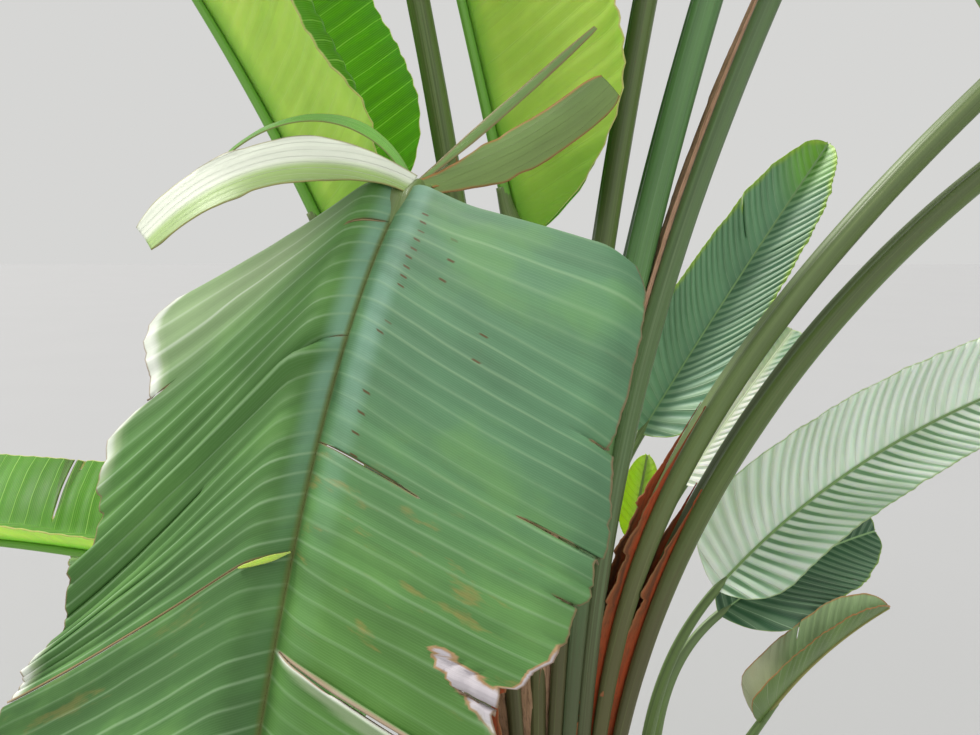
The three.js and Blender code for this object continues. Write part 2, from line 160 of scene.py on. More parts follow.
def shaded(code: str, share: float) -> str:
    """The colour code made darker, below 1, or lighter."""
    parts = [min(255, round(int(code[k : k + 2], 16) * share)) for k in (0, 2, 4)]
    return "".join(f"{part:02x}" for part in parts)


# Node trees in few words


@dataclass(frozen=True)
class Term:
    """An output of a node, which sums and products can be written with."""

    graph: "Graph"
    socket: bpy.types.NodeSocket

    def __add__(self, other: "Value") -> "Term":
        """The sum of both."""
        return self.graph.math("ADD", self, other)

    def __sub__(self, other: "Value") -> "Term":
        """The difference of both."""
        return self.graph.math("SUBTRACT", self, other)

    def __mul__(self, other: "Value") -> "Term":
        """The product of both."""
        return self.graph.math("MULTIPLY", self, other)

    def __truediv__(self, other: "Value") -> "Term":
        """This, divided by the other."""
        return self.graph.math("DIVIDE", self, other)


Value = Union[Term, float, int, bool, str, Sequence[float], None]


class TreeKind(Enum):
    """What a node tree makes."""

    SHAPE = "GeometryNodeTree"
    SURFACE = "ShaderNodeTree"


class Socket(Enum):
    """What an input of a group takes."""

    NUMBER = "NodeSocketFloat"
    COUNT = "NodeSocketInt"
    VECTOR = "NodeSocketVector"
    GEOMETRY = "NodeSocketGeometry"
    PATH = "NodeSocketObject"
    FINISH = "NodeSocketMaterial"


class Graph:
    """Builds one geometry or shader node tree."""

    def __init__(self, tree: bpy.types.NodeTree) -> None:
        """Starts the graph.

        Args:
            tree: The node tree to build in.
        """
        self.tree = tree
        self.ids: dict[str, str] = {}
        self.entry: Optional[bpy.types.Node] = None

    @classmethod
    def group(cls, name: str, kind: TreeKind, **inputs: Union[Socket, float]) -> "Graph":
        """Starts a node group.

        Args:
            name: The group's name.
            kind: What it makes.
            inputs: What each named input takes, or the number that it starts at.

        Returns:
            The graph to build the group's nodes with.
        """
        graph = cls(bpy.data.node_groups.new(name, kind.value))
        for label, start in inputs.items():
            takes = start
            if not isinstance(start, Socket):
                takes = Socket.COUNT if isinstance(start, int) else Socket.NUMBER
            made = graph.tree.interface.new_socket(label, in_out="INPUT", socket_type=takes.value)
            if takes is not start:
                made.default_value = start
            graph.ids[label] = made.identifier
        graph.entry = graph.tree.nodes.new("NodeGroupInput")
        return graph

    def given(self, label: str) -> Term:
        """The group's own input of that name."""
        return Term(self, self.entry.outputs[label])

    def add(self, kind: str, inputs: Any = (), **settings: Any) -> bpy.types.Node:
        """Adds a node.

        Args:
            kind: The node's type.
            inputs: Values or terms, by socket name or in the order of the shown sockets.
            settings: The node's own settings.

        Returns:
            The node.
        """
        node = self.tree.nodes.new(kind)
        for key, value in settings.items():
            setattr(node, key, value)
        shown = [s for s in node.inputs if s.enabled]
        if isinstance(inputs, dict):
            pairs = [(next(s for s in shown if s.name == k), v) for k, v in inputs.items()]
        else:
            pairs = list(zip(shown, inputs))
        for socket, value in pairs:
            if isinstance(value, Term):
                self.tree.links.new(value.socket, socket)
            elif value is not None:
                socket.default_value = value
        return node

    def term(self, kind: str, inputs: Any = (), out: str = "", **settings: Any) -> Term:
        """Adds a node and gives its shown output of that name, or its first."""
        shown = [s for s in self.add(kind, inputs, **settings).outputs if s.enabled]
        return Term(self, next(s for s in shown if out in ("", s.name)))

    def math(self, operation: str, *values: Value, clamp: bool = False) -> Term:
        """A sum of numbers."""
        return self.term("ShaderNodeMath", values, operation=operation, use_clamp=clamp)

    def vector(self, operation: str, *values: Value) -> Term:
        """A sum of vectors, or of a vector and a number."""
        return self.term("ShaderNodeVectorMath", values, operation=operation)

    def xyz(self, x: Value, y: Value, z: Value = 0.0) -> Term:
        """A vector of three numbers."""
        return self.term("ShaderNodeCombineXYZ", (x, y, z))

    def split(self, vector: Term) -> tuple[Term, Term, Term]:
        """The three numbers of a vector."""
        outputs = self.add("ShaderNodeSeparateXYZ", (vector,)).outputs
        return Term(self, outputs[0]), Term(self, outputs[1]), Term(self, outputs[2])

    def step(self, value: Value, low: Value, high: Value, a: float = 0.0, b: float = 1.0) -> Term:
        """A soft step from a at low to b at high."""
        return self.term("ShaderNodeMapRange", (value, low, high, a, b), interpolation_type="SMOOTHSTEP")

    def noise(self, vector: Value, scale: Value, detail: float = 2.0, rough: float = 0.5) -> Term:
        """Seamless noise, about 0.5 on average."""
        inputs = {"Vector": vector, "Scale": scale, "Detail": detail, "Roughness": rough}
        return self.term("ShaderNodeTexNoise", inputs)

    def chance(self, count: Value) -> Term:
        """A random number from 0 to 1 for each whole count."""
        inputs = {"W": self.math("FLOOR", count)}
        return self.term("ShaderNodeTexWhiteNoise", inputs, noise_dimensions="1D")

    def blend(self, share: Value, a: Value, b: Value) -> Term:
        """The colour at a share of the way from a to b."""
        return self.term("ShaderNodeMix", (share, a, b), data_type="RGBA")

    def attribute(self, name: str, kind: str = "FLOAT") -> Term:
        """A named attribute of the geometry that is being made."""
        return self.term("GeometryNodeInputNamedAttribute", (name,), data_type=kind)

    def close(self, **results: Term) -> "Graph":
        """Ends the group.

        Args:
            results: Its outputs.

        Returns:
            The graph.
        """
        for label, result in results.items():
            kind = result.socket.bl_idname
            self.tree.interface.new_socket(label, in_out="OUTPUT", socket_type=kind)
        exit_node = self.tree.nodes.new("NodeGroupOutput")
        for result, socket in zip(results.values(), exit_node.inputs):
            self.tree.links.new(result.socket, socket)
        return self


@cache
def closed_sheet() -> Graph:
    """Builds the group that gives an open sheet its thickness.

    Returns:
        The group, which puts the mark "under" on the lower side.
    """
    g = Graph.group("Closed sheet", TreeKind.SHAPE, Sheet=Socket.GEOMETRY, Thickness=0.002)
    raised = g.term(
        "GeometryNodeExtrudeMesh",
        {"Mesh": g.given("Sheet"), "Offset Scale": g.given("Thickness"), "Individual": False})
    lower = g.term(
        "GeometryNodeStoreNamedAttribute", {"Geometry": g.given("Sheet"), "Name": "under", "Value": 1.0},
        data_type="FLOAT", domain="FACE")
    lower = g.term("GeometryNodeFlipFaces", (lower,))
    joined = g.add("GeometryNodeJoinGeometry")
    for part in (lower, raised):
        g.tree.links.new(part.socket, joined.inputs[0])
    inputs = {"Geometry": Term(g, joined.outputs[0]), "Distance": SHEET_WELD}
    return g.close(Leaf=g.term("GeometryNodeMergeByDistance", inputs))


class Measure(Enum):
    """How a place on a curve is given."""

    FACTOR = "Factor"
    LENGTH = "Length"


class LineGraph(Graph):
    """A geometry tree that lays things along path objects."""

    def line(self, label: str) -> Term:
        """The curve of the path object in that input."""
        shape = self.term("GeometryNodeObjectInfo", {"Object": self.given(label)}, out="Geometry")
        return self.term("GeometryNodeMeshToCurve", (shape,))

    def on(self, curve: Term, where: Value, what: str, by: Measure = Measure.FACTOR) -> Term:
        """Samples a curve.

        Args:
            curve: The curve.
            where: How far along it.
            what: Position, Tangent or the name of a vector that the curve carries.
            by: How that is measured.

        Returns:
            The vector there.
        """
        inputs: dict[str, Value] = {"Curves": curve, by.value: where}
        if what not in ("Position", "Tangent"):
            inputs["Value"], what = self.attribute(what, FIELD), "Value"
        return self.term("GeometryNodeSampleCurve", inputs, out=what, mode=by.name, data_type=FIELD)

    def reached(self, place: Term, *ways: tuple[Term, Value]) -> Term:
        """Sets off from a place.

        Args:
            place: The place.
            ways: Each way to go and how far.

        Returns:
            The place that is reached.
        """
        for way, far in ways:
            place = self.vector("ADD", place, self.vector("SCALE", way, far))
        return place

    def grid(self, across: Value, along: Value) -> tuple[Term, Term, Term]:
        """Makes a grid.

        Args:
            across: How many points it has across.
            along: How many points it has along.

        Returns:
            The grid and its two shares, from 0 to 1.
        """
        sheet = self.term(
            "GeometryNodeMeshGrid",
            {"Size X": 1.0, "Size Y": 1.0, "Vertices X": across, "Vertices Y": along})
        x, y, _ = self.split(self.term("GeometryNodeInputPosition"))
        return sheet, x + 0.5, y + 0.5

    def laid(self, shape: Term, u: Value, v: Value, place: Term) -> Term:
        """Gives a shape its UV map and lays it in its place.

        Args:
            shape: The shape.
            u: The map's first number, in metres or as a share.
            v: Its second number, in metres.
            place: Where each point goes.

        Returns:
            The shape there.
        """
        inputs = {"Geometry": shape, "Name": "UVMap", "Value": self.xyz(u, v)}
        mapped = self.term("GeometryNodeStoreNamedAttribute", inputs, data_type="FLOAT2", domain="CORNER")
        return self.term("GeometryNodeSetPosition", {"Geometry": mapped, "Position": place})

    def closed(self, sheet: Term) -> Term:
        """The open sheet at the thickness of the Thickness input."""
        inputs = {"Sheet": sheet, "Thickness": self.given("Thickness")}
        return self.term("GeometryNodeGroup", inputs, node_tree=closed_sheet().tree)

    def finished(self, shape: Term) -> Term:
        """Turns a shape into plain smooth faces with the Finish input as their material.

        Args:
            shape: The shape.

        Returns:
            The faces.
        """
        for kind in ("GeometryNodeSetShadeSmooth", "GeometryNodeRealizeInstances"):
            shape = self.term(kind, (shape,))
        return self.term("GeometryNodeSetMaterial", {"Geometry": shape, "Material": self.given("Finish")})


@cache
def blade_tree() -> Graph:
    """Builds the tree that lays a flat sheet on a rib and bends it to a section.

    Returns:
        The tree.
    """
    g = LineGraph.group(
        "Blade on rib", TreeKind.SHAPE, Sheet=Socket.GEOMETRY, Rib=Socket.PATH, Section=Socket.PATH,
        Length=1.5, Middle=0.3, Sweep=VEIN_SWEEP, Spacing=VEIN_SPACING, Pleat=0.002, Ripple=0.004,
        Thickness=0.002, Seed=0.0, Finish=Socket.FINISH)
    x, y, z = g.split(g.term("GeometryNodeInputPosition"))
    run, vein, depth = g.attribute("run"), g.attribute("vein"), g.attribute("pleat")
    length, seed = g.given("Length"), g.given("Seed")
    reach = g.math("ABSOLUTE", x)
    rib, section = g.line("Rib"), g.line("Section")
    share = g.math("DIVIDE", y, length, clamp=True)
    beyond = y - share * length
    side, face, along = (g.on(rib, share, name) for name in ("side", "face", "along"))
    place = g.on(rib, share, "Position")
    at = x + g.given("Middle")
    bent_x, bent_y, _ = g.split(g.on(section, at, "Position", Measure.LENGTH))
    slope_x, slope_y, _ = g.split(g.on(section, at, "Tangent", Measure.LENGTH))
    turn = g.math("MULTIPLY", vein / g.given("Spacing"), TURN)
    fade = g.step(reach, 0.008, 0.05)
    wander = g.noise(g.xyz(x, vein, seed), 9.0)
    pleat = g.math("SINE", turn + wander * 1.5) * g.given("Pleat") * fade * depth
    swell = (g.noise(g.xyz(x, y, seed + 7.0), 5.5) - 0.5) * g.given("Ripple") * 2.0
    lift = z + pleat + swell * fade * depth
    push = reach * g.given("Sweep") + g.attribute("shift") + beyond
    placed = g.reached(
        place, (side, bent_x - slope_y * lift), (face, bent_y + slope_x * lift), (along, push))
    return g.close(Blade=g.finished(g.closed(g.laid(g.given("Sheet"), run, vein, placed))))


@cache
def limb_tree() -> Graph:
    """Builds the tree that sweeps a rounded section along a path, for stalks, ribs and the stem.

    Returns:
        The tree.
    """
    g = LineGraph.group(
        "Limb on path", TreeKind.SHAPE, Path=Socket.PATH, Around=25, Rings=80, Distance=1.0,
        Fibre=0.0, Seed=0.0, Finish=Socket.FINISH)
    seed = g.given("Seed")
    grid, around, share = g.grid(g.given("Around"), g.given("Rings"))
    last = g.given("Rings") - 1.0
    ring = share * last
    t = g.math("DIVIDE", ring - 1.0, last - 2.0, clamp=True)
    open_end = g.math("MINIMUM", g.math("MINIMUM", ring, last - ring), 1.0)
    angle = around * TURN
    cos, sin = g.math("COSINE", angle), g.math("SINE", angle)
    path = g.line("Path")
    place = g.on(path, t, "Position")
    side, face = g.on(path, t, "side"), g.on(path, t, "face")
    wide, thick, power = g.split(g.on(path, t, "size"))
    clasp, groove, relief = g.split(g.on(path, t, "form"))
    round_x = g.math("SIGN", cos) * g.math("POWER", g.math("ABSOLUTE", cos), power)
    round_y = g.math("SIGN", sin) * g.math("POWER", g.math("ABSOLUTE", sin), power)
    far = t * g.given("Distance")
    grain = g.noise(g.xyz(cos * 3.0, sin * 3.0, far * 2.5 + seed), 2.2, 3.0)
    rough = g.noise(g.xyz(cos * 1.5, sin * 1.5, far * 30.0 + seed), 1.0, 3.0)
    out = (grain - 0.5) * g.given("Fibre") * 2.0 + (rough - 0.5) * relief * 2.0
    hollow = g.math("EXPONENT", g.math("POWER", cos * 2.6, 2.0) * -1.0)
    upper = g.math("LESS_THAN", sin, 0.0)
    across = round_x * (wide + out) * open_end
    down = (round_y * (thick + out) + hollow * upper * groove) * open_end
    curl = clasp * cos * cos * open_end
    under = g.vector("SCALE", face, -1.0)
    limb = g.laid(grid, around, far, g.reached(place, (side, across), (under, down), (face, curl)))
    limb = g.term("GeometryNodeMergeByDistance", {"Geometry": limb, "Distance": LIMB_WELD})
    return g.close(Limb=g.finished(limb))


@cache
def margin_tree() -> Graph:
    """Builds the tree of the thin dry margin that a sheath leaves along one edge of its stalk.

    Returns:
        The tree.
    """
    g = LineGraph.group(
        "Dry margin", TreeKind.SHAPE, Path=Socket.PATH, Steps=150, Half=1.0, Width=0.022, Start=0.1,
        End=0.8, Distance=1.5, Thickness=0.0012, Ragged=1.0, Seed=0.0, Finish=Socket.FINISH)
    start, seed, uneven = g.given("Start"), g.given("Seed"), g.given("Ragged")
    grid, across, share = g.grid(5, g.given("Steps"))
    t = start + (g.given("End") - start) * share
    path = g.line("Path")
    place = g.on(path, t, "Position")
    side, face = g.on(path, t, "side"), g.on(path, t, "face")
    wide, thick, _ = g.split(g.on(path, t, "size"))
    clasp, _, _ = g.split(g.on(path, t, "form"))
    far = t * g.given("Distance")
    torn = g.noise(g.xyz(far, seed, 0.0), 30.0, 3.0, 0.6)
    count = far / MARGIN_PIECE + seed * 0.37
    part = g.math("FRACT", count)
    ragged = (g.chance(count) * 0.6 + 0.4) * (part * -0.3 + 1.0) * g.step(torn, 0.3, 0.6, 0.7, 1.0)
    ragged = ragged * uneven + (uneven * -0.7 + 0.7)
    width = g.given("Width") * ragged * g.step(share, 0.7, 1.0, 1.0, 0.15)
    width = width * g.step(t, 0.15, 0.5, 2.6, 1.0)
    wave = (g.noise(g.xyz(far, seed, 9.0), 5.0) - 0.5) * width * across * 0.6
    sideways = (wide * 0.62 + width * across * 0.4 + wave) * g.given("Half")
    upwards = clasp + thick * 0.84 + (across - 0.12) * width * 0.9
    placed = g.reached(place, (side, sideways), (face, upwards))
    return g.close(Margin=g.finished(g.closed(g.laid(grid, across, far, placed))))


@cache
def fibre_tree() -> Graph:
    """Builds the tree that hangs short stiff fibres from the rings of the stem.

    Returns:
        The tree.
    """
    g = LineGraph.group(
        "Fibres on rings", TreeKind.SHAPE, Rings=Socket.GEOMETRY, Length=0.035, Radius=0.0011,
        Seed=3, Finish=Socket.FINISH)
    fibre = g.term(
        "GeometryNodeMeshCone",
        {
            "Vertices": 4, "Side Segments": 2, "Fill Segments": 1, "Radius Top": 0.0002,
            "Radius Bottom": g.given("Radius"), "Depth": g.given("Length")})
    loose = g.term(
        "FunctionNodeRandomValue",
        {"Min": (-0.5, -0.5, -0.5), "Max": (0.5, 0.5, 0.3), "Seed": g.given("Seed")}, data_type=FIELD)
    aim = g.vector("ADD", g.attribute("aim", FIELD), loose)
    turn = g.term("FunctionNodeAlignRotationToVector", {"Vector": aim}, axis="Z")
    size = g.term(
        "FunctionNodeRandomValue", {"Min": 0.5, "Max": 1.3, "Seed": g.given("Seed") + 1.0},
        data_type="FLOAT")
    points = g.term("GeometryNodeMeshToPoints", (g.given("Rings"),))
    placed = g.term(
        "GeometryNodeInstanceOnPoints",
        {"Points": points, "Instance": fibre, "Rotation": turn, "Scale": size})
    return g.close(Fibres=g.finished(placed))


# Turning trees into pieces


def new_object(name: str, data: Any) -> bpy.types.Object:
    """Puts a new object into the scene.

    Args:
        name: Its name.
        data: Its mesh, lamp or camera.

    Returns:
        The object.
    """
    item = bpy.data.objects.new(name, data)
    bpy.context.scene.collection.objects.link(item)
    return item


def line_object(name: str, points: Array, **values: Array) -> bpy.types.Object:
    """A path for a tree to follow.

    Args:
        name: The object's name.
        points: Its points in order.
        values: Vector attributes, one row for each point.

    Returns:
        The path, which is taken away again once the piece is made.
    """
    mesh = bpy.data.meshes.new(name)
    mesh.from_pydata([tuple(p) for p in points], [(k, k + 1) for k in range(len(points) - 1)], [])
    for label, rows in values.items():
        made = mesh.attributes.new(label, "FLOAT_VECTOR", "POINT")
        made.data.foreach_set("vector", np.asarray(rows, dtype=np.float32).ravel())
    return new_object(name, mesh)


def turned_line(name: str, points: Array, stations: Sequence[Axes], **more: Array) -> bpy.types.Object:
    """A path that also carries the axes at each of its points."""
    sides, faces, ways = ([getattr(s, key) for s in stations] for key in ("side", "face", "along"))
    return line_object(name, points, side=sides, face=faces, along=ways, **more)


@dataclass
class LimbLine:
    """A limb's line: its points, and at each its axes, its half sizes with their power and its form."""

    points: list[Array] = field(default_factory=list)
    stations: list[Axes] = field(default_factory=list)
    sizes: list[Sequence[float]] = field(default_factory=list)
    forms: list[Sequence[float]] = field(default_factory=list)

    def add(self, point: Array, station: Axes, size: Sequence[float], form: Sequence[float]) -> None:
        """Takes the line on to a point."""
        for rows, row in zip(vars(self).values(), (point, station, size, form)):
            rows.append(row)

    def distance(self) -> float:
        """How long the line is."""
        return float(np.linalg.norm(np.diff(np.array(self.points), axis=0), axis=1).sum())

    def path(self) -> bpy.types.Object:
        """The path that a limb's tree follows."""
        return turned_line("limb_path", self.points, self.stations, size=self.sizes, form=self.forms)


def walk(
    start: Point, axes_at: Callable[[float], Axes], length: float, steps: int
) -> tuple[Array, list[Axes]]:
    """A line that sets off from a place and goes where its axes point.

    Args:
        start: The place.
        axes_at: The axes at a share of its length.
        length: Its length.
        steps: How many steps it has.

    Returns:
        Its points and its axes at each.
    """
    place = np.array(start)
    points, stations = [place], [axes_at(0.0)]
    for k in range(steps):
        place = place + axes_at((k + 0.5) / steps).along * length / steps
        points.append(place)
        stations.append(axes_at((k + 1) / steps))
    return np.array(points), stations


def discard(*objects: bpy.types.Object) -> None:
    """Takes helper objects and their meshes away."""
    for item in objects:
        bpy.data.meshes.remove(item.data)


def signed_volume(mesh: bpy.types.Mesh) -> float:
    """Measures what a closed mesh holds.

    Args:
        mesh: The mesh.

    Returns:
        Its volume, below 0 where it is inside out.
    """
    mesh.calc_loop_triangles()
    corners = np.empty(len(mesh.loop_triangles) * 3, dtype=np.int32)
    mesh.loop_triangles.foreach_get("vertices", corners)
    places = np.empty(len(mesh.vertices) * 3)
    mesh.vertices.foreach_get("co", places)
    a, b, c = places.reshape(-1, 3)[corners.reshape(-1, 3)].transpose(1, 0, 2)
    return float(np.einsum("ij,ij->i", a, np.cross(b, c)).sum() / 6.0)


def keep(
    name: str, graph: Graph, values: dict[str, Any], finish: "Finish", node: str,
    start: Optional[bpy.types.Mesh] = None,
) -> None:
    """Runs a geometry tree and keeps its result, a plain mesh, as a piece of the plant.

    Args:
        name: The piece's name.
        graph: The tree.
        values: What to put in its named inputs.
        finish: Its finish.
        node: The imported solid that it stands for.
        start: The mesh that it starts from, where it needs one.
    """
    holder = new_object(name + "_start", start or bpy.data.meshes.new(name + "_start"))
    modifier = holder.modifiers.new("Tree", "NODES")
    modifier.node_group = graph.tree
    for label, value in {**values, "Finish": finish.material()}.items():
        modifier[graph.ids[label]] = value
    scene_now = bpy.context.evaluated_depsgraph_get()
    mesh = bpy.data.meshes.new_from_object(
        holder.evaluated_get(scene_now), preserve_all_data_layers=True, depsgraph=scene_now)
    mesh.name = name
    if signed_volume(mesh) < 0.0:
        mesh.flip_normals()
    holder.modifiers.remove(modifier)
    discard(holder)
    piece = new_object(name, mesh)
    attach(piece, "root")
    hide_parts(node)
    log.info("%s: %d faces", piece.name, len(piece.data.polygons))


# Finishes


@cache
def leaf_veins() -> Graph:
    """Builds the group of a leaf's veins.

    Returns:
        The group: pale main veins, fine ones between them, each strip's own shade and its ridge.
    """
    g = Graph.group(
        "Leaf veins", TreeKind.SURFACE, Run=0.0, Vein=0.0, Spacing=VEIN_SPACING, Width=0.1, Seed=0.0)
    run, vein, seed = g.given("Run"), g.given("Vein"), g.given("Seed")
    sway = (g.noise(g.xyz(run * 3.0, vein * 9.0, seed), 2.0) - 0.5) * 0.012
    spacing, width = g.given("Spacing"), g.given("Width")
    count = (vein + sway) / spacing
    part = g.math("FRACT", count)
    away = g.math("ABSOLUTE", part - 0.5) * 2.0
    strength = g.noise(g.xyz(run * 2.0, count * 1.7, seed + 3.0), 1.6)
    line = g.step(away, width * -1.0 + 1.0, width * -0.15 + 1.0)
    line = line * g.step(strength, 0.25, 0.65, 0.3, 1.0)
    thin = g.math("FRACT", (vein + sway * 0.6) / spacing * 9.0)
    thin = g.step(g.math("ABSOLUTE", thin - 0.5) * 2.0, 0.45, 1.0)
    thin = thin * g.noise(g.xyz(run * 7.0, vein * 60.0, seed), 1.0, 3.0)
    strip = g.chance(count + 0.5 + seed)
    ridge = g.math("SINE", count * TURN + 0.75) * 0.5 + 0.5
    return g.close(Line=line, Fine=thin, Strip=strip, Ridge=ridge)


@cache
def blotches() -> Graph:
    """Builds the group of scattered blotches, stretched by the vector that places them.

    Returns:
        The group.
    """
    g = Graph.group("Blotches", TreeKind.SURFACE, Place=Socket.VECTOR, Scale=20.0, Amount=0.3)
    broad = g.noise(g.given("Place"), g.given("Scale"), 4.0, 0.6)
    sparse = g.noise(g.given("Place"), g.given("Scale") * 0.23, 2.0)
    level = g.math("SUBTRACT", 0.78, g.given("Amount") * 0.25)
    mask = g.step(broad + (sparse - 0.5) * 0.5, level, level + 0.12)
    return g.close(Mask=mask)


@cache
def stalk_fibres() -> Graph:
    """Builds the group of a stalk's fine lines, with broader soft streaks and flecks.

    Returns:
        The group.
    """
    g = Graph.group("Stalk fibres", TreeKind.SURFACE, Around=0.0, Far=0.0, Count=40.0, Seed=0.0)
    angle = g.given("Around") * TURN
    cos, sin = g.math("COSINE", angle), g.math("SINE", angle)
    count, far, seed = g.given("Count"), g.given("Far"), g.given("Seed")
    spread = count * 0.16
    fine = g.noise(g.xyz(cos * spread, sin * spread, far * 1.3 + seed), 1.0, 3.0, 0.6)
    streak = g.noise(g.xyz(cos * 1.4, sin * 1.4, far * 1.1 + seed + 5.0), 1.3, 2.0)
    flecks = g.noise(g.xyz(cos * 2.5, sin * 2.5, far * 16.0 + seed), 4.5, 4.0, 0.7)
    return g.close(Line=fine, Streak=streak, Flecks=flecks)


class Dressing(Graph):
    """A material's node tree with the places that every finish of the plant reads."""

    def __init__(self, name: str) -> None:
        """Starts the material.

        Args:
            name: Its name.
        """
        self.material = bpy.data.materials.new(name)
        self.material.use_nodes = True
        super().__init__(self.material.node_tree)
        self.tree.nodes.clear()

    def uv(self) -> tuple[Term, Term]:
        """The two numbers of the piece's own UV map, in metres or shares."""
        first, second, _ = self.split(self.term("ShaderNodeUVMap", uv_map="UVMap"))
        return first, second

    def place(self) -> Term:
        """The place on the plant."""
        return self.term("ShaderNodeTexCoord", out="Object")

    def mark(self, name: str) -> Term:
        """A number that the mesh carries."""
        return self.term("ShaderNodeAttribute", out="Fac", attribute_name=name)

    def placed(self, group: Graph, **inputs: Value) -> list[Term]:
        """The outputs of one of the shared groups with its own values."""
        node = self.add("ShaderNodeGroup", inputs, node_tree=group.tree)
        return [Term(self, socket) for socket in node.outputs]

    def tint(self, skin: Term, share: Value, code: str) -> Term:
        """The skin with a share of that colour over it."""
        return self.blend(share, skin, srgb(code))

    def shade(
        self, colour: Term, roughness: Value, height: Term, depth: float, plain: dict[str, Any]
    ) -> bpy.types.Material:
        """Puts the surface together.

        Args:
            colour: The base colour.
            roughness: The roughness.
            height: The height that the bump reads, from 0 to 1.
            depth: How deep the bump is, in metres.
            plain: Other values of the surface shader.

        Returns:
            The material.
        """
        bump = self.term("ShaderNodeBump", {"Strength": 1.0, "Distance": depth, "Height": height})
        inputs = {"Base Color": colour, "Roughness": roughness, "Normal": bump, **plain}
        surface = self.term("ShaderNodeBsdfPrincipled", inputs)
        self.add("ShaderNodeOutputMaterial", {"Surface": surface})
        return self.material


@dataclass(frozen=True)
class Finish:
    """A surface of the plant that is made a material on its first use, with its record's slot."""

    name: str
    slot: str

    def paint(self) -> bpy.types.Material:
        """Builds the material's nodes."""
        raise NotImplementedError

    def material(self) -> bpy.types.Material:
        """The finish's material."""
        return bpy.data.materials.get(self.name) or self.paint()


# Painted light: the trough and foot greens are painted shade, and the sheen blue is a painted highlight
# beside the rib.
TROUGH_SHADE_GREEN, MOTTLE_GREEN, SHEEN_BLUE, FOOT_SHADE_GREEN = "3f6b48", "6c9a50", "a0cac0", "3c6a1e"
SPECK_BROWN, SCAR_BROWN, DEAD_BROWN, DEAD_TAN = "5f4325", "59401f", "8f6c46", "c2a67c"
PALE_PART_GREEN, PALE_PART_WHITE, PAPER_GREY, FLECK_BROWN = "c0d0aa", "fafbf5", "c6c0c6", "6b4a2a"
MARGIN_SHADE, MARGIN_FIBRE, BARK_FIBRE, BARK_FLECK = "3f2c1d", "4a3420", "9a8b62", "b0a684"


@dataclass(frozen=True)
class BladeMaps:
    """What the colours of a blade are laid by, at each place on it."""

    g: Dressing
    run: Term
    vein: Term
    line: Term
    fine: Term
    strip: Term
    ridge: Term
    cloud: Term
    drawn: Term
    lower: Term
    paleness: Term


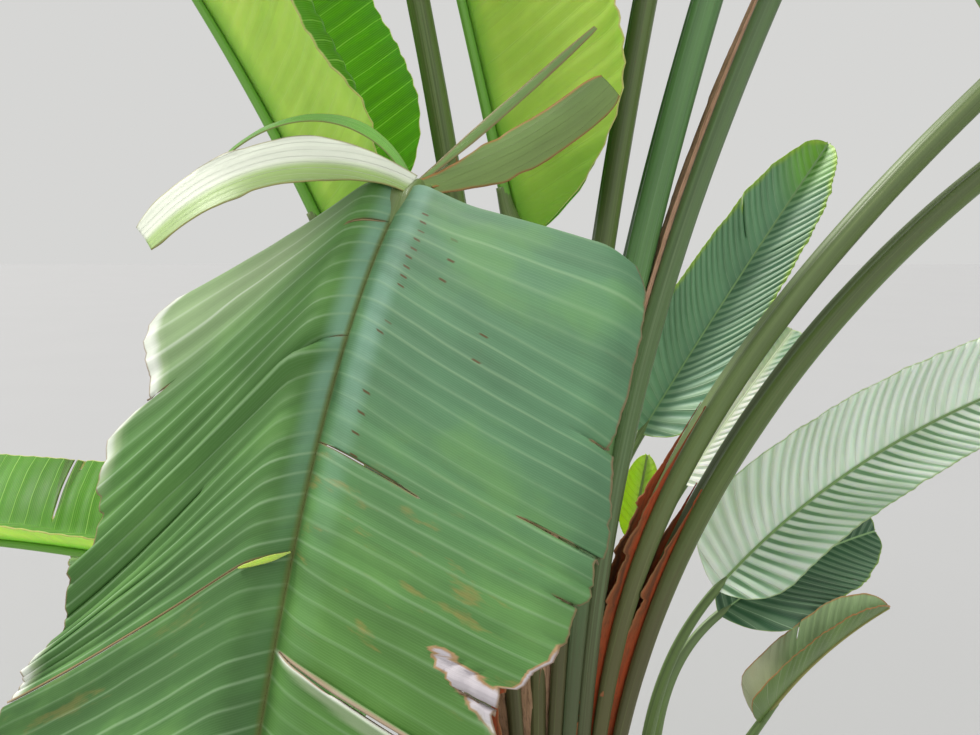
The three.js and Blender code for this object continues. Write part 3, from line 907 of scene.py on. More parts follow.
@dataclass(frozen=True)
class BladeFinish(Finish):
    """A leaf blade: its two halves, its underside, veins, margin, spots and dry parts."""

    right: str
    left: str
    under: str
    vein: str
    late: str
    late_from: float = 0.3
    late_to: float = 1.0
    late_left: str = ""
    edge: str = "8a7a45"
    edge_width: float = 0.0035
    pale: str = "d9dfc4"
    spot: str = "8a6a3a"
    spots: float = 0.3
    specks: float = 0.12
    stain_from: float = 0.0
    stain_to: float = NO_END
    # The ridge pair sets the painted highlight on the pleats' crests of the right and left halves.
    ridge: tuple[float, float] = (0.0, 0.0)
    vein_share: tuple[float, float] = (0.6, 0.6)
    fine_share: float = 0.16
    spacing: float = VEIN_SPACING
    vein_width: float = 0.1
    rib: str = "5f7a48"
    rib_width: float = 0.02
    roughness: float = 0.42
    coat: float = 0.12
    shine: float = 0.5
    dashes: bool = False
    glow: float = 0.0
    # The next three paint light: shade at the blade's foot, shade in the troughs of the pleats, and a sheen
    # beside the rib.
    foot_shade: float = 0.0
    trough_shade: float = 0.0
    rib_sheen: float = 0.0
    bump: float = 0.0014
    seed: float = 0.0

    def paint(self) -> bpy.types.Material:
        """Builds the nodes of the blade's surface.

        Returns:
            The material.
        """
        g = Dressing(self.name)
        run, vein = g.uv()
        line, fine, strip, ridge = g.placed(
            leaf_veins(), Run=run, Vein=vein, Spacing=self.spacing, Width=self.vein_width, Seed=self.seed)
        cloud = g.noise(g.xyz(run * 3.0, vein * 5.0, self.seed), 2.0, 4.0)
        drawn = line * (strip * 0.5 + 0.75) * g.step(run, -0.01, 0.01, *self.vein_share)
        # The pale mark: dry, papery parts, and on the hanging leaf's upper left also painted sunlight.
        paleness = g.mark("pale")
        at = BladeMaps(g, run, vein, line, fine, strip, ridge, cloud, drawn, g.mark("under"), paleness)
        skin = self.aged(at, self.banded(at, self.ground(at)))
        ragged = g.noise(g.xyz(run * 20.0, vein * 30.0, self.seed), 1.0, 3.0)
        rim = g.step(g.mark("edge") + (ragged - 0.5) * self.edge_width, 0.0, self.edge_width)
        skin = g.tint(skin, (rim * -1.0 + 1.0) * 0.85, self.edge)
        height = line * 0.45 + fine * 0.18 + ridge * 0.2 + cloud * 0.2
        roughness = (cloud - 0.5) * 0.2 + paleness * 0.3 + self.roughness
        plain: dict[str, Any] = {
            "Coat Weight": self.coat, "Coat Roughness": 0.3, "Specular IOR Level": self.shine}
        if self.glow:
            plain["Subsurface Weight"] = self.glow
            plain["Subsurface Radius"] = (0.5, 1.0, 0.15)
            plain["Subsurface Scale"] = 0.02
        return g.shade(skin, roughness, height, self.bump, plain)

    def ground(self, at: BladeMaps) -> Term:
        """Colours the two halves, the underside, the fine veins and the lit crests of the pleats.

        Args:
            at: The blade's maps.

        Returns:
            The colour so far.
        """
        g, run, cloud = at.g, at.run, at.cloud
        upper = g.blend(g.step(run, -0.03, 0.03), srgb(self.right), srgb(self.left))
        late = g.blend(g.step(run, -0.03, 0.03), srgb(self.late), srgb(self.late_left or self.late))
        upper = g.blend(g.step(at.vein, self.late_from, self.late_to), upper, late)
        skin = g.blend(at.lower, upper, srgb(self.under))
        shade = (cloud - 0.5) * 0.9 + (at.strip - 0.5) * 0.16 + 0.95
        skin = g.blend(1.0, skin, g.term("ShaderNodeCombineColor", (shade, shade, shade)))
        skin.socket.node.blend_type = "MULTIPLY"
        skin = g.tint(skin, at.fine * self.fine_share, self.vein)
        # Painted highlight: the crests of the pleats are lightened towards the vein colour.
        crest_highlight = g.step(run, -0.01, 0.01, *self.ridge) * g.step(at.ridge, 0.0, 1.0)
        crest_highlight = crest_highlight * g.step(cloud, 0.3, 0.6, 0.5, 1.0) * (at.lower * -1.0 + 1.0)
        return g.tint(skin, crest_highlight, self.vein)

    def banded(self, at: BladeMaps, skin: Term) -> Term:
        """Adds painted shade in the troughs of the pleats, a painted sheen beside the rib, the main veins,
        the rib and painted shade at the foot.

        Args:
            at: The blade's maps.
            skin: The colour so far.

        Returns:
            The colour with them.
        """
        g, run, vein, cloud = at.g, at.run, at.vein, at.cloud
        # Painted shade: the troughs between the pleats are darkened near the rib.
        if self.trough_shade:
            deep = g.step(run, 0.0, 0.006) * g.step(run, 0.02, 0.09, self.trough_shade, 0.0)
            skin = g.tint(skin, deep * g.step(at.ridge, 0.15, 0.6, 1.0, 0.0), TROUGH_SHADE_GREEN)
        # Painted sheen: a pale blue-grey band on each side of the rib stands in for the sky reflected on
        # its shoulders.
        if self.rib_sheen:
            skin = g.tint(skin, g.step(cloud, 0.5, 0.66) * 0.4, MOTTLE_GREEN)
            sheen_band = g.step(run, 0.001, 0.008) * g.step(run, 0.012, 0.032, self.rib_sheen, 0.0)
            far_sheen_band = g.step(run, -0.066, -0.045) * g.step(run, -0.038, -0.014, self.rib_sheen, 0.0)
            sheen_band = (sheen_band + far_sheen_band * 0.8) * g.step(cloud, 0.3, 0.6, 0.4, 1.0)
            skin = g.tint(skin, sheen_band * g.step(vein, 0.22, 0.44, 1.0, 0.1), SHEEN_BLUE)
        skin = g.tint(skin, at.drawn, self.vein)
        near_rib = g.step(g.math("ABSOLUTE", run), 0.0, self.rib_width, 0.75, 0.0)
        skin = g.tint(skin, near_rib, self.rib)
        # Painted shade: darker green towards the foot of the blade.
        if self.foot_shade:
            skin = g.tint(skin, g.step(vein, 0.0, 0.13, self.foot_shade, 0.0), FOOT_SHADE_GREEN)
        return skin

    def aged(self, at: BladeMaps, skin: Term) -> Term:
        """Adds stains, specks, scars, what is dead, and the pale parts, which are papery and in places
        painted sunlight.

        Args:
            at: The blade's maps.
            skin: The colour so far.

        Returns:
            The colour with them.
        """
        g, run, vein, paleness = at.g, at.run, at.vein, at.paleness
        (blot,) = g.placed(
            blotches(), Place=g.xyz(run, vein * 3.2, self.seed + 2.0), Scale=13.0, Amount=self.spots)
        (speck,) = g.placed(
            blotches(), Place=g.xyz(run, vein * 2.4, self.seed + 8.0), Scale=90.0, Amount=self.spots)
        low = vein - g.step(run, -0.01, 0.01, 0.0, 0.14)
        zone = g.step(low, self.stain_from, self.stain_from + 0.1)
        zone = zone * g.step(vein, self.stain_to, self.stain_to + 0.03, 1.0, 0.0)
        skin = g.tint(skin, blot * zone * 0.34, self.spot)
        skin = g.tint(skin, speck * self.specks, SPECK_BROWN)
        if self.dashes:
            skin = g.tint(skin, self.dash_rows(g, run, vein), SCAR_BROWN)
        torn = g.noise(g.xyz(run * 60.0, vein * 60.0, self.seed), 1.0, 3.0)
        dead = zone * g.step(run, -0.12, -0.11, 1.0, 0.0)
        tan = g.step(paleness + (torn - 0.5) * 0.4, 0.15, 0.4) * dead
        skin = g.blend(tan, skin, g.blend(torn, srgb(DEAD_BROWN), srgb(DEAD_TAN)))
        # Pale parts: papery, and on the hanging leaf's upper left partly painted sunlight.
        pale_share = g.blend(dead, paleness, g.step(paleness + (torn - 0.5) * 0.3, 0.45, 0.8))
        lined = g.blend(g.step(paleness, 0.4, 0.9), srgb(PALE_PART_GREEN), srgb(self.pale))
        lined = g.blend(at.drawn * 2.0, lined, srgb(PALE_PART_WHITE))
        return g.blend(pale_share, skin, g.blend(dead, lined, srgb(PAPER_GREY)))

    def rib_finish(self) -> "StalkFinish":
        """The finish of the rib, in shades of the blade's rib colour."""
        rib, name = self.rib, self.name + " rib"
        return StalkFinish(name, self.slot, rib, shaded(rib, 0.82), rib, shaded(rib, 1.22), count=10.0)

    def dash_rows(self, g: Dressing, run: Term, vein: Term) -> Term:
        """Short brown scars, one to a vein, in three rows beside the rib.

        Args:
            g: The material.
            run: The signed distance from the rib.
            vein: Which vein, as a distance along the rib.

        Returns:
            Where they are.
        """
        total: Optional[Term] = None
        rows = (
            (-0.062, 0.02, 0.16, 0.5), (-0.058, 0.17, 0.31, 1.0), (-0.111, 0.02, 0.11, 1.0),
            (-0.17, 0.09, 0.18, 1.3))
        for row, first, last, every in rows:
            step = self.spacing * every
            sway = (g.noise(g.xyz(vein * 30.0, 0.0, row * 40.0), 2.0) - 0.5) * 0.024
            near = g.step(g.math("ABSOLUTE", run - row + sway), 0.003, 0.0065, 1.0, 0.0)
            part = g.math("ABSOLUTE", g.math("FRACT", vein / step) - 0.3)
            thin = g.step(part, 0.03 / every, 0.075 / every, 1.0, 0.0)
            inside = g.step(vein, first, first + 0.01) * g.step(vein, last, last + 0.01, 1.0, 0.0)
            some = g.noise(g.xyz(vein * 55.0, row * 90.0, 3.0), 1.0, 1.0)
            mask = near * thin * inside * g.step(some, 0.42, 0.5)
            total = mask if total is None else g.math("MAXIMUM", total, mask)
        return total * 0.9


@dataclass(frozen=True)
class StalkFinish(Finish):
    """A leaf stalk: waxy skin with fine lines along it, browner towards its sheathing foot."""

    body: str
    dark: str
    foot: str
    lines: str
    foot_from: float = 0.75
    foot_to: float = 0.3
    flecks: float = 0.3
    roughness: float = 0.45
    count: float = 46.0
    seed: float = 0.0

    def paint(self) -> bpy.types.Material:
        """Builds the nodes of the stalk's surface.

        Returns:
            The material.
        """
        g = Dressing(self.name)
        around, far = g.uv()
        line, streak, flecks = g.placed(
            stalk_fibres(), Around=around, Far=far, Count=self.count, Seed=self.seed)
        skin = g.blend(g.step(streak, 0.3, 0.7), srgb(self.body), srgb(self.dark))
        low = g.step(far + (streak - 0.5) * 0.5, self.foot_to, self.foot_from, 1.0, 0.0)
        skin = g.tint(skin, low, self.foot)
        skin = g.tint(skin, g.step(line, 0.5, 0.72) * 0.45, self.lines)
        skin = g.tint(skin, g.step(line, 0.42, 0.25) * 0.3, self.dark)
        skin = g.tint(skin, g.step(flecks, 0.6, 0.7) * self.flecks, FLECK_BROWN)
        height = line * 0.7 + streak * 0.3
        roughness = (streak - 0.5) * 0.25 + low * 0.15 + self.roughness
        return g.shade(skin, roughness, height, 0.0016, {"Coat Weight": 0.08, "Coat Roughness": 0.2})


@dataclass(frozen=True)
class DryFinish(Finish):
    """A papery sheath margin: dry brown at its rim and redder where it joins the stalk."""

    inner: str
    outer: str
    rim: str
    ragged: float = 1.0
    width: float = 0.02
    seed: float = 0.0

    def paint(self) -> bpy.types.Material:
        """Builds the nodes of the margin's surface.

        Returns:
            The material.
        """
        g = Dressing(self.name)
        across, far = g.uv()
        fibres = g.noise(g.xyz(across * 2.5, far * 22.0, self.seed), 2.0, 4.0, 0.65)
        patch = g.noise(g.xyz(across * 0.8, far * 4.5, self.seed + 4.0), 1.5, 2.0)
        skin = g.blend(g.step(across, 0.05, 0.7), srgb(self.inner), srgb(self.outer))
        skin = g.tint(skin, g.step(patch, 0.42, 0.62), self.inner)
        skin = g.tint(skin, g.step(patch, 0.28, 0.42, 0.55, 0.0), MARGIN_SHADE)
        skin = g.tint(skin, g.step(fibres, 0.45, 0.7) * 0.5, MARGIN_FIBRE)
        skin = g.tint(skin, g.step(across, 0.8, 1.0) * 0.8, self.rim)
        return g.shade(skin, (fibres - 0.5) * 0.3 + 0.7, fibres, 0.0012, {})


@dataclass(frozen=True)
class StemFinish(Finish):
    """The short stem: fibrous grey-brown bark, darker in the scars between its rings."""

    bark: str
    scar: str
    green: str

    def paint(self) -> bpy.types.Material:
        """Builds the nodes of the stem's surface.

        Returns:
            The material.
        """
        g = Dressing(self.name)
        around, far = g.uv()
        line, streak, flecks = g.placed(stalk_fibres(), Around=around, Far=far, Count=90.0, Seed=2.0)
        cloud = g.noise(g.place(), 14.0, 5.0, 0.6)
        rings = g.math("SINE", (far + (cloud - 0.5) * 0.02) * (TURN / RING_PITCH))
        scar = g.step(rings, 0.2, 0.9)
        skin = g.blend(g.step(cloud, 0.35, 0.65), srgb(self.bark), srgb(self.green))
        skin = g.tint(skin, g.step(line, 0.45, 0.7) * 0.6, BARK_FIBRE)
        skin = g.tint(skin, scar * 0.7, self.scar)
        skin = g.tint(skin, g.step(flecks, 0.55, 0.7) * 0.5, BARK_FLECK)
        height = line * 0.6 + (scar * -1.0 + 1.0) * 0.4 + streak * 0.2
        return g.shade(skin, (cloud - 0.5) * 0.2 + 0.82, height, 0.004, {})


# The right half's bluer grey-green is partly the blade's own tone and partly a painted sheen of reflected
# sky.
GREY_GREEN = BladeFinish(
    "Grey green blade", "blade_front", edge_width=0.0024, right="5a8662", left="4e7c39", under="86a884",
    vein="9cbc92", late="59893f", late_from=0.16, late_to=0.5, edge="937858", spot="b08a4a", spots=0.7,
    specks=0.05, stain_from=0.26, stain_to=0.46, vein_share=(0.25, 0.38), fine_share=0.1, rib="94965f",
    rib_width=0.009, rib_sheen=0.42, dashes=True, roughness=0.6, coat=0.03, bump=0.0005, pale="dfe5da",
    spacing=0.0215, vein_width=0.24, shine=0.3, late_left="48733a")
FAN_GREEN = BladeFinish(
    "Green blade", "blade_green", right="4f7c3b", left="568540", under="6b9a44", vein="95bb70",
    late="58803a", spots=0.35, seed=11.0, roughness=0.5, coat=0.05, bump=0.001, rib="6f8f4e")
# Its bright yellow-green underside is partly painted light shining through the leaf, and its dark upper
# side partly painted shade.
SUNLIT_GREEN = BladeFinish(
    "Sunlit blade", "blade_bright", right="467a12", left="437510", under="c4fb68", vein="c6f285",
    late="5c8f38", edge="c9c383", spots=0.1, specks=0.05, rib="74ad44", rib_width=0.05,
    vein_share=(0.3, 0.3), fine_share=0.15, roughness=0.6, bump=0.0006, seed=21.0, coat=0.02, glow=0.5,
    foot_shade=0.6, shine=0.2)
# Its wide yellow-green rim is partly the margin's own colour and partly painted light caught along the
# margin.
DARK_GREEN = BladeFinish(
    "Dark green blade", "blade_dark", right="72a87c", left="68997a", under="557f4c", vein="b4d2ac",
    late="7cc02e", late_from=0.47, late_to=0.6, edge="a9cf3c", edge_width=0.008, spots=0.1, spacing=0.018,
    ridge=(0.16, 0.5), vein_share=(0.45, 0.45), rib="9fc48a", rib_width=0.005, seed=31.0, trough_shade=0.5)
LOW_GREEN = BladeFinish(
    "Shaded green blade", "blade_dark", right="2b5838", left="31603f", under="5f8a55", vein="a9c9a4",
    late="3d6b45", edge="9dbb52", edge_width=0.003, spots=0.1, spacing=0.018, ridge=(0.3, 0.3),
    rib="9fc48a", rib_width=0.005, seed=35.0)
# Its lighter right half, the upper one, is partly painted sunlight; its crests carry a painted highlight
# and its troughs painted shade.
PALE_GREEN = BladeFinish(
    "Pale ridged blade", "blade_pale", right="dcf8de", left="a4d0aa", under="8fb28d", vein="f4fff2",
    late="dcefde", edge="9cb878", spots=0.05, specks=0.04, spacing=0.02, ridge=(0.85, 0.85),
    vein_share=(0.4, 0.4), rib="86a868", rib_width=0.007, seed=41.0, trough_shade=0.75, glow=0.15)
OLIVE_GREEN = BladeFinish(
    "Olive blade", "blade_olive", right="c9cdaf", left="b3bd92", under="67863c", vein="d3dcb9",
    late="a3c08a", late_from=0.04, late_to=0.12, edge="b4763a", edge_width=0.003, spot="b8803c", spots=0.5,
    vein_share=(0.2, 0.2), spacing=0.018, seed=51.0, rib="8c8c52", rib_width=0.007, late_left="445f34")
SUCKER_GREEN = BladeFinish(
    "Sucker green blade", "blade_green", right="4f7f3a", left="588a40", under="7ca757", vein="a4c884",
    late="5d8a3c", spots=0.3, spacing=0.018, seed=61.0, rib="86a860")
WHITE_GREEN = BladeFinish(
    "White sunlit blade", "blade_bright", right="eef1ea", left="e6ece0", under="c3d6b4", vein="f2f6ec",
    late="7fa58c", late_from=0.2, late_to=0.28, edge="b9c99a", spots=0.05, specks=0.0, spacing=0.014,
    ridge=(0.2, 0.2), trough_shade=0.6, seed=71.0, glow=0.25, rib="c3d2ae")
# Its near-neon green is partly the young leaf's own colour and partly painted sunlight through it.
LIGHT_GREEN = BladeFinish(
    "Light sucker blade", "blade_bright", right="b8ff34", left="bcff3a", under="c4ff50", vein="b4e46a",
    late="a4e82c", edge="a3c94a", spots=0.05, specks=0.0, spacing=0.014, seed=75.0, glow=0.5, rib="a5c078")
# The white band along one side of the strip is partly painted sunlight, and the green of the other side
# partly painted shade.
TORN_PALE = BladeFinish(
    "Pale torn strip", "blade_front", right="a3c370", left="a3c370", under="9cba54", vein="eef4e4",
    late="f3fae8", late_from=0.391, late_to=0.406, edge="a39a5c", edge_width=0.002, spots=0.1, specks=0.0,
    spacing=0.0085, rib_width=0.0001, seed=81.0)
TORN_GREEN = BladeFinish(
    "Green torn strip", "blade_front", right="7cbe50", left="7cbe50", under="86b858", vein="c2dca0",
    late="7cbe50", edge="8a8a4c", edge_width=0.001, spots=0.1, spacing=0.005, rib_width=0.0001, seed=85.0)
TORN_OLIVE = BladeFinish(
    "Olive torn strip", "blade_front", right="72904a", left="72904a", under="7f9652", vein="8fa563",
    late="789448", late_from=0.38, late_to=0.42, edge="a4632c", edge_width=0.0042, spot="a86a30",
    spots=0.35, specks=0.1, spacing=0.0085, rib_width=0.0001, seed=91.0)
TORN_GREY = BladeFinish(
    "Grey torn strip", "blade_front", right="73984c", left="73984c", under="76805a", vein="9ba682",
    late="7fa060", edge="8c7148", spots=0.4, spacing=0.006, rib_width=0.0001, seed=101.0)
STALK_OLIVE = StalkFinish(
    "Olive stalk", "stalk_olive", body="6d834a", dark="5c6f3e", foot="62603a", lines="8c9963")
STALK_BLUE = StalkFinish(
    "Blue green stalk", "stalk_blue", body="628f51", dark="527748", foot="5b6545", lines="80a375", seed=4.0)
STALK_MID = StalkFinish(
    "Mid green stalk", "stalk_blue", body="607c4c", dark="526b40", foot="5b5f40", lines="80986c", seed=6.0)
STALK_BROWN = StalkFinish(
    "Brown green stalk", "stalk_brown", body="637b3c", dark="506032", foot="5b5938", lines="7c8a54",
    flecks=0.4, seed=8.0)
STALK_YOUNG = StalkFinish(
    "Young stalk", "stalk_olive", body="6f8850", dark="5c7244", foot="6a6d46", lines="98ab74",
    foot_from=0.3, foot_to=0.1, count=22.0, seed=12.0)
DRY_RED = DryFinish("Red brown margin", "stalk_brown", inner="b0481c", outer="8a4e28", rim="9a6f45")
DRY_TAN = DryFinish(
    "Tan margin", "stalk_olive", inner="c9a083", outer="b8906f", rim="8d7350", ragged=0.25, width=0.013)
BARK = StemFinish("Fibrous bark", "stem", bark="6b5f40", scar="3d3322", green="5d6038")


# Blades as flat sheets


class Half(IntEnum):
    """A half of a blade, by the way that it reaches along the blade's side."""

    RIGHT = -1
    LEFT = 1


RIGHT, LEFT = Half


@dataclass(frozen=True)
class Row:
    """Places on one half of a blade: their veins, how far from the rib they are, and its margin."""

    half: Half
    vein: Array
    reach: Array
    margin: float = 0.0


@dataclass(frozen=True)
class Tear:
    """A split between two veins: its half, its vein, how wide it gapes and where it runs."""

    half: Half
    at: float
    gap: float
    start: float = 0.012
    end: float = NO_END
    lift: float = 0.0

    def opened(self, row: Row) -> Array:
        """How far the split gapes along its row, as a share of its gap."""
        share = np.clip((row.reach - self.start) / (min(self.end, row.margin) - self.start), 0.0, 1.0)
        return np.sin(np.pi * share) ** 0.8 if self.end < row.margin else share**0.85


class Wander:
    """A smooth, fixed, uneven line about 0, for margins that aren't quite even."""

    TURNS = 997

    def __init__(self, seed: int, step: float) -> None:
        """Draws the turns of the line with that seed, a step apart."""
        self.step = step
        self.values = np.random.default_rng(seed).uniform(-1.0, 1.0, self.TURNS)

    def __call__(self, at: Array) -> Array:
        """Follows the line.

        Args:
            at: The distances along it.

        Returns:
            Its height at each.
        """
        place = np.abs(np.asarray(at, dtype=float)) / self.step
        low = np.floor(place).astype(int)
        first, second = self.values[low % self.TURNS], self.values[(low + 1) % self.TURNS]
        return mix(first, second, smooth(place - low))


class FlatSheet:
    """Gathers the points, marks and faces of a sheet before a tree lays it in its place."""

    MARKS = ("run", "vein", "shift", "edge", "pale", "pleat")

    def __init__(self) -> None:
        """Starts an empty sheet."""
        self.points: list[Array] = []
        self.marks: dict[str, list[Array]] = {name: [] for name in self.MARKS}
        self.faces: list[tuple[int, int, int, int]] = []
        self.count = 0

    def add(self, points: Array, **marks: Array) -> Array:
        """Adds points.

        Args:
            points: Their reach, distance along the rib and lift.
            marks: Their marks, each 0 where it isn't given.

        Returns:
            Their numbers.
        """
        first = self.count
        self.points.append(points)
        for name, rows in self.marks.items():
            rows.append(np.broadcast_to(marks.get(name, 0.0), len(points)).astype(float))
        self.count += len(points)
        return np.arange(first, self.count)

    def weave(self, upper: Array, lower: Array, turned: bool = False) -> None:
        """Adds the faces between two rows.

        Args:
            upper: The numbers of the first row's points.
            lower: Those of the second.
            turned: Whether the faces run the other way round.
        """
        for ring in zip(upper[:-1], upper[1:], lower[1:], lower[:-1]):
            self.faces.append(tuple(int(k) for k in (ring[::-1] if turned else ring)))

    def mesh(self, name: str) -> bpy.types.Mesh:
        """Makes the sheet.

        Args:
            name: The mesh's name.

        Returns:
            The mesh with its marks.
        """
        mesh = bpy.data.meshes.new(name)
        mesh.from_pydata(np.concatenate(self.points).tolist(), [], self.faces)
        for label, rows in self.marks.items():
            made = mesh.attributes.new(label, "FLOAT", "POINT")
            made.data.foreach_set("value", np.concatenate(rows).astype(np.float32))
        return mesh


@dataclass(frozen=True)
class Leaf:
    """A stalk and its blade, whose leans are those of its foot, the blade's base and its tip."""

    name: str
    foot: Point
    rank: float
    leans: tuple[float, float, float]
    base: Point
    length: float
    half_width: float
    fold: float
    stalk: StalkFinish
    blade: BladeFinish
    tears: tuple[Tear, ...] = ()
    heading: Optional[float] = None
    tip_heading: Optional[float] = None
    foot_heading: Optional[float] = None
    stalk_lean: Optional[float] = None
    stalk_heading: Optional[float] = None
    handles: tuple[float, float] = (0.38, 0.38)
    roll: float = 0.0
    ease: float = 0.0
    right_share: float = 1.0
    left_share: float = 1.0
    base_round: float = BASE_ROUND
    pleat: float = 0.0022
    ripple: float = 0.006
    thickness: float = 0.002
    row_step: float = 0.0085
    columns: int = 20
    arch: float = 14.0
    right_bend: Optional[tuple[float, float, float]] = None
    left_bend: Optional[tuple[float, float, float]] = None
    taper: float = BLADE_TAPER
    tip_round: float = TIP_ROUND
    spread: float = 0.0
    nicks: int = 5
    margins: Optional[DryFinish] = None
    sucker: bool = False
    seed: int = 1
    rib_half: float = 0.011
    stout: float = 1.0
    margin_end: float = 0.74

    SECTION_STEP = 0.004
    SECTION_REACH = 1.3
    HALVINGS = 24
    LEAST_APART = 0.012
    BESIDE_TEAR = (-0.0045, -0.0018, 0.0018, 0.0045)
    BESIDE_END = (0.0006, 0.002, 0.0045)
    BESIDE_MARGIN = (0.97, 0.99)
    FAN_STALK = ((0.056, 0.0118), (0.031, 0.0205), (0.0205, 0.0195))
    SUCKER_STALK = ((0.03, 0.0076), (0.0125, 0.0095), (0.0085, 0.0085))
    FOOT_POWER = 5.0
    STALK_POWER = 2.2

    @property
    def away(self) -> float:
        """The heading that the blade leans to at its base."""
        return self.rank if self.heading is None else self.heading

    def lay(self, u: float) -> Axes:
        """How the blade lies.

        Args:
            u: A share of its length.

        Returns:
            Its axes there.
        """
        share = u
        if self.ease:
            share = (1.0 - math.exp(-u / self.ease)) / (1.0 - math.exp(-1.0 / self.ease))
        tip_heading = self.away if self.tip_heading is None else self.tip_heading
        lean = mix(self.leans[1], self.leans[2], share)
        return axes(lean, mix(self.away, tip_heading, u), self.roll)

    def rib_line(self, steps: int = RIB_STEPS) -> tuple[Array, list[Axes]]:
        """The rib's points and its axes at each."""
        return walk(np.array(self.base) + self.lay(0.0).along * CLEAR, self.lay, self.length, steps)

    def rise(self, half: Half, out: float) -> float:
        """How far a half stands up from flat.

        Args:
            half: Which half.
            out: A share of the half's width out from the rib.

        Returns:
            The angle there.
        """
        bend = self.right_bend if half is RIGHT else self.left_bend
        if bend is None:
            return self.fold + self.arch * (1.0 - 2.0 * min(out, 1.2))
        near, far, lip = bend
        return mix(near, far, min(out, 1.0)) + lip * float(smooth((out - 0.78) / 0.22))

    def section(self) -> tuple[Array, float]:
        """Bends the section of the blade.

        Returns:
            Its points from the right margin to the left, and how long its right part is.
        """
        step, count = self.SECTION_STEP, int(self.half_width * self.SECTION_REACH / self.SECTION_STEP)
        sides = []
        for half in Half:
            place, points = np.zeros(3), []
            for k in range(count):
                angle = math.radians(self.rise(half, (k + 0.5) * step / self.half_width))
                place = place + np.array([half * math.cos(angle), math.sin(angle), 0.0]) * step
                points.append(place)
            sides.append(points)
        return np.array([*reversed(sides[0]), np.zeros(3), *sides[1]]), count * step

    def outline(self, u: Array) -> Array:
        """How wide half the blade is.

        Args:
            u: Shares of its length.

        Returns:
            Its width at each, as a share of its widest.
        """
        base = np.sqrt(np.clip(1.0 - (1.0 - np.minimum(u / self.base_round, 1.0)) ** 2, 0.0, 1.0))
        late = np.clip((u - 1.0 + self.tip_round) / self.tip_round, 0.0, 1.0)
        return base * np.sqrt(1.0 - late**2) * (1.0 - self.taper * u)

    def margin(self, half: Half, vein: Array) -> Array:
        """How far the blade reaches from its rib.

        Args:
            half: Which half.
            vein: The veins, as distances along the rib.

        Returns:
            The reach on each.
        """
        widest = self.half_width * (self.right_share if half is RIGHT else self.left_share)
        even = widest * self.outline(vein / self.length)
        if self.spread:
            low, high = np.zeros_like(vein), np.full_like(vein, widest)
            for _ in range(self.HALVINGS):
                reach = (low + high) / 2.0
                at = (vein + self.sweep_on(Row(half, vein, reach))) / self.length
                inside = reach < widest * self.outline(np.clip(at, 0.0, 1.0))
                low, high = np.where(inside, reach, low), np.where(inside, high, reach)
            even = low
        even = np.maximum(LEAST_HALF_WIDTH * (0.3 if self.sucker else 0.7), even)
        uneven = Wander(self.seed * 7 + half, 0.021)(vein) * 0.0016
        broad = Wander(self.seed * 5 + half, 0.16)(vein) * 0.012 * self.half_width
        return even + (uneven + broad) * np.minimum(even / 0.05, 1.0)

    def sweep_on(self, row: Row) -> Array:
        """How much further than the even sweep the veins have run."""
        slope = self.spread * smooth(row.vein / (0.22 * self.length))
        return slope * (0.6 * row.reach + 0.9 * row.reach**2 / self.half_width)

    def surface(self, row: Row) -> tuple[Array, Array, Array]:
        """How far the sheet stands out, how pale it is, and its share of the pleats' depth."""
        return np.zeros_like(row.reach), np.zeros_like(row.reach), np.ones_like(row.reach)

    def splits(self) -> list[Tear]:
        """Adds a few small nicks to the blade's tears.

        Returns:
            Those that are far enough apart.
        """
        chance = np.random.default_rng(self.seed + 100)
        made = list(self.tears)
        for _ in range(self.nicks):
            half = Half(int(chance.choice([-1, 1])))
            at = float(chance.uniform(0.15, 0.9)) * self.length
            deep = float(chance.uniform(0.03, 0.3))
            reach = float(self.margin(half, np.array([at]))[0])
            gap = deep * 0.05 + 0.003
            made.append(Tear(half, at, gap, start=reach * (1.0 - deep)))
        kept: list[Tear] = []
        for tear in made:
            if all(abs(tear.at - other.at) > self.LEAST_APART for other in kept):
                kept.append(tear)
        return kept

    def rows(self, splits: Sequence[Tear]) -> Array:
        """The veins that the sheet's rows follow, closer at its ends and beside its tears.

        Args:
            splits: The tears.

        Returns:
            The veins, as distances along the rib.
        """
        even = np.linspace(0.0, self.length, int(self.length / self.row_step) + 1)
        ends = np.array(self.BESIDE_END)
        extra = [ends, self.length - ends]
        for tear in splits:
            extra.append(tear.at + np.array(self.BESIDE_TEAR))
        rows = np.concatenate([even, *extra])
        for tear in splits:
            rows = rows[np.abs(rows - tear.at) > 0.0012]
        rows = np.sort(np.concatenate([rows, [tear.at for tear in splits]]))
        return rows[np.concatenate([[True], np.diff(rows) > 0.0003])]

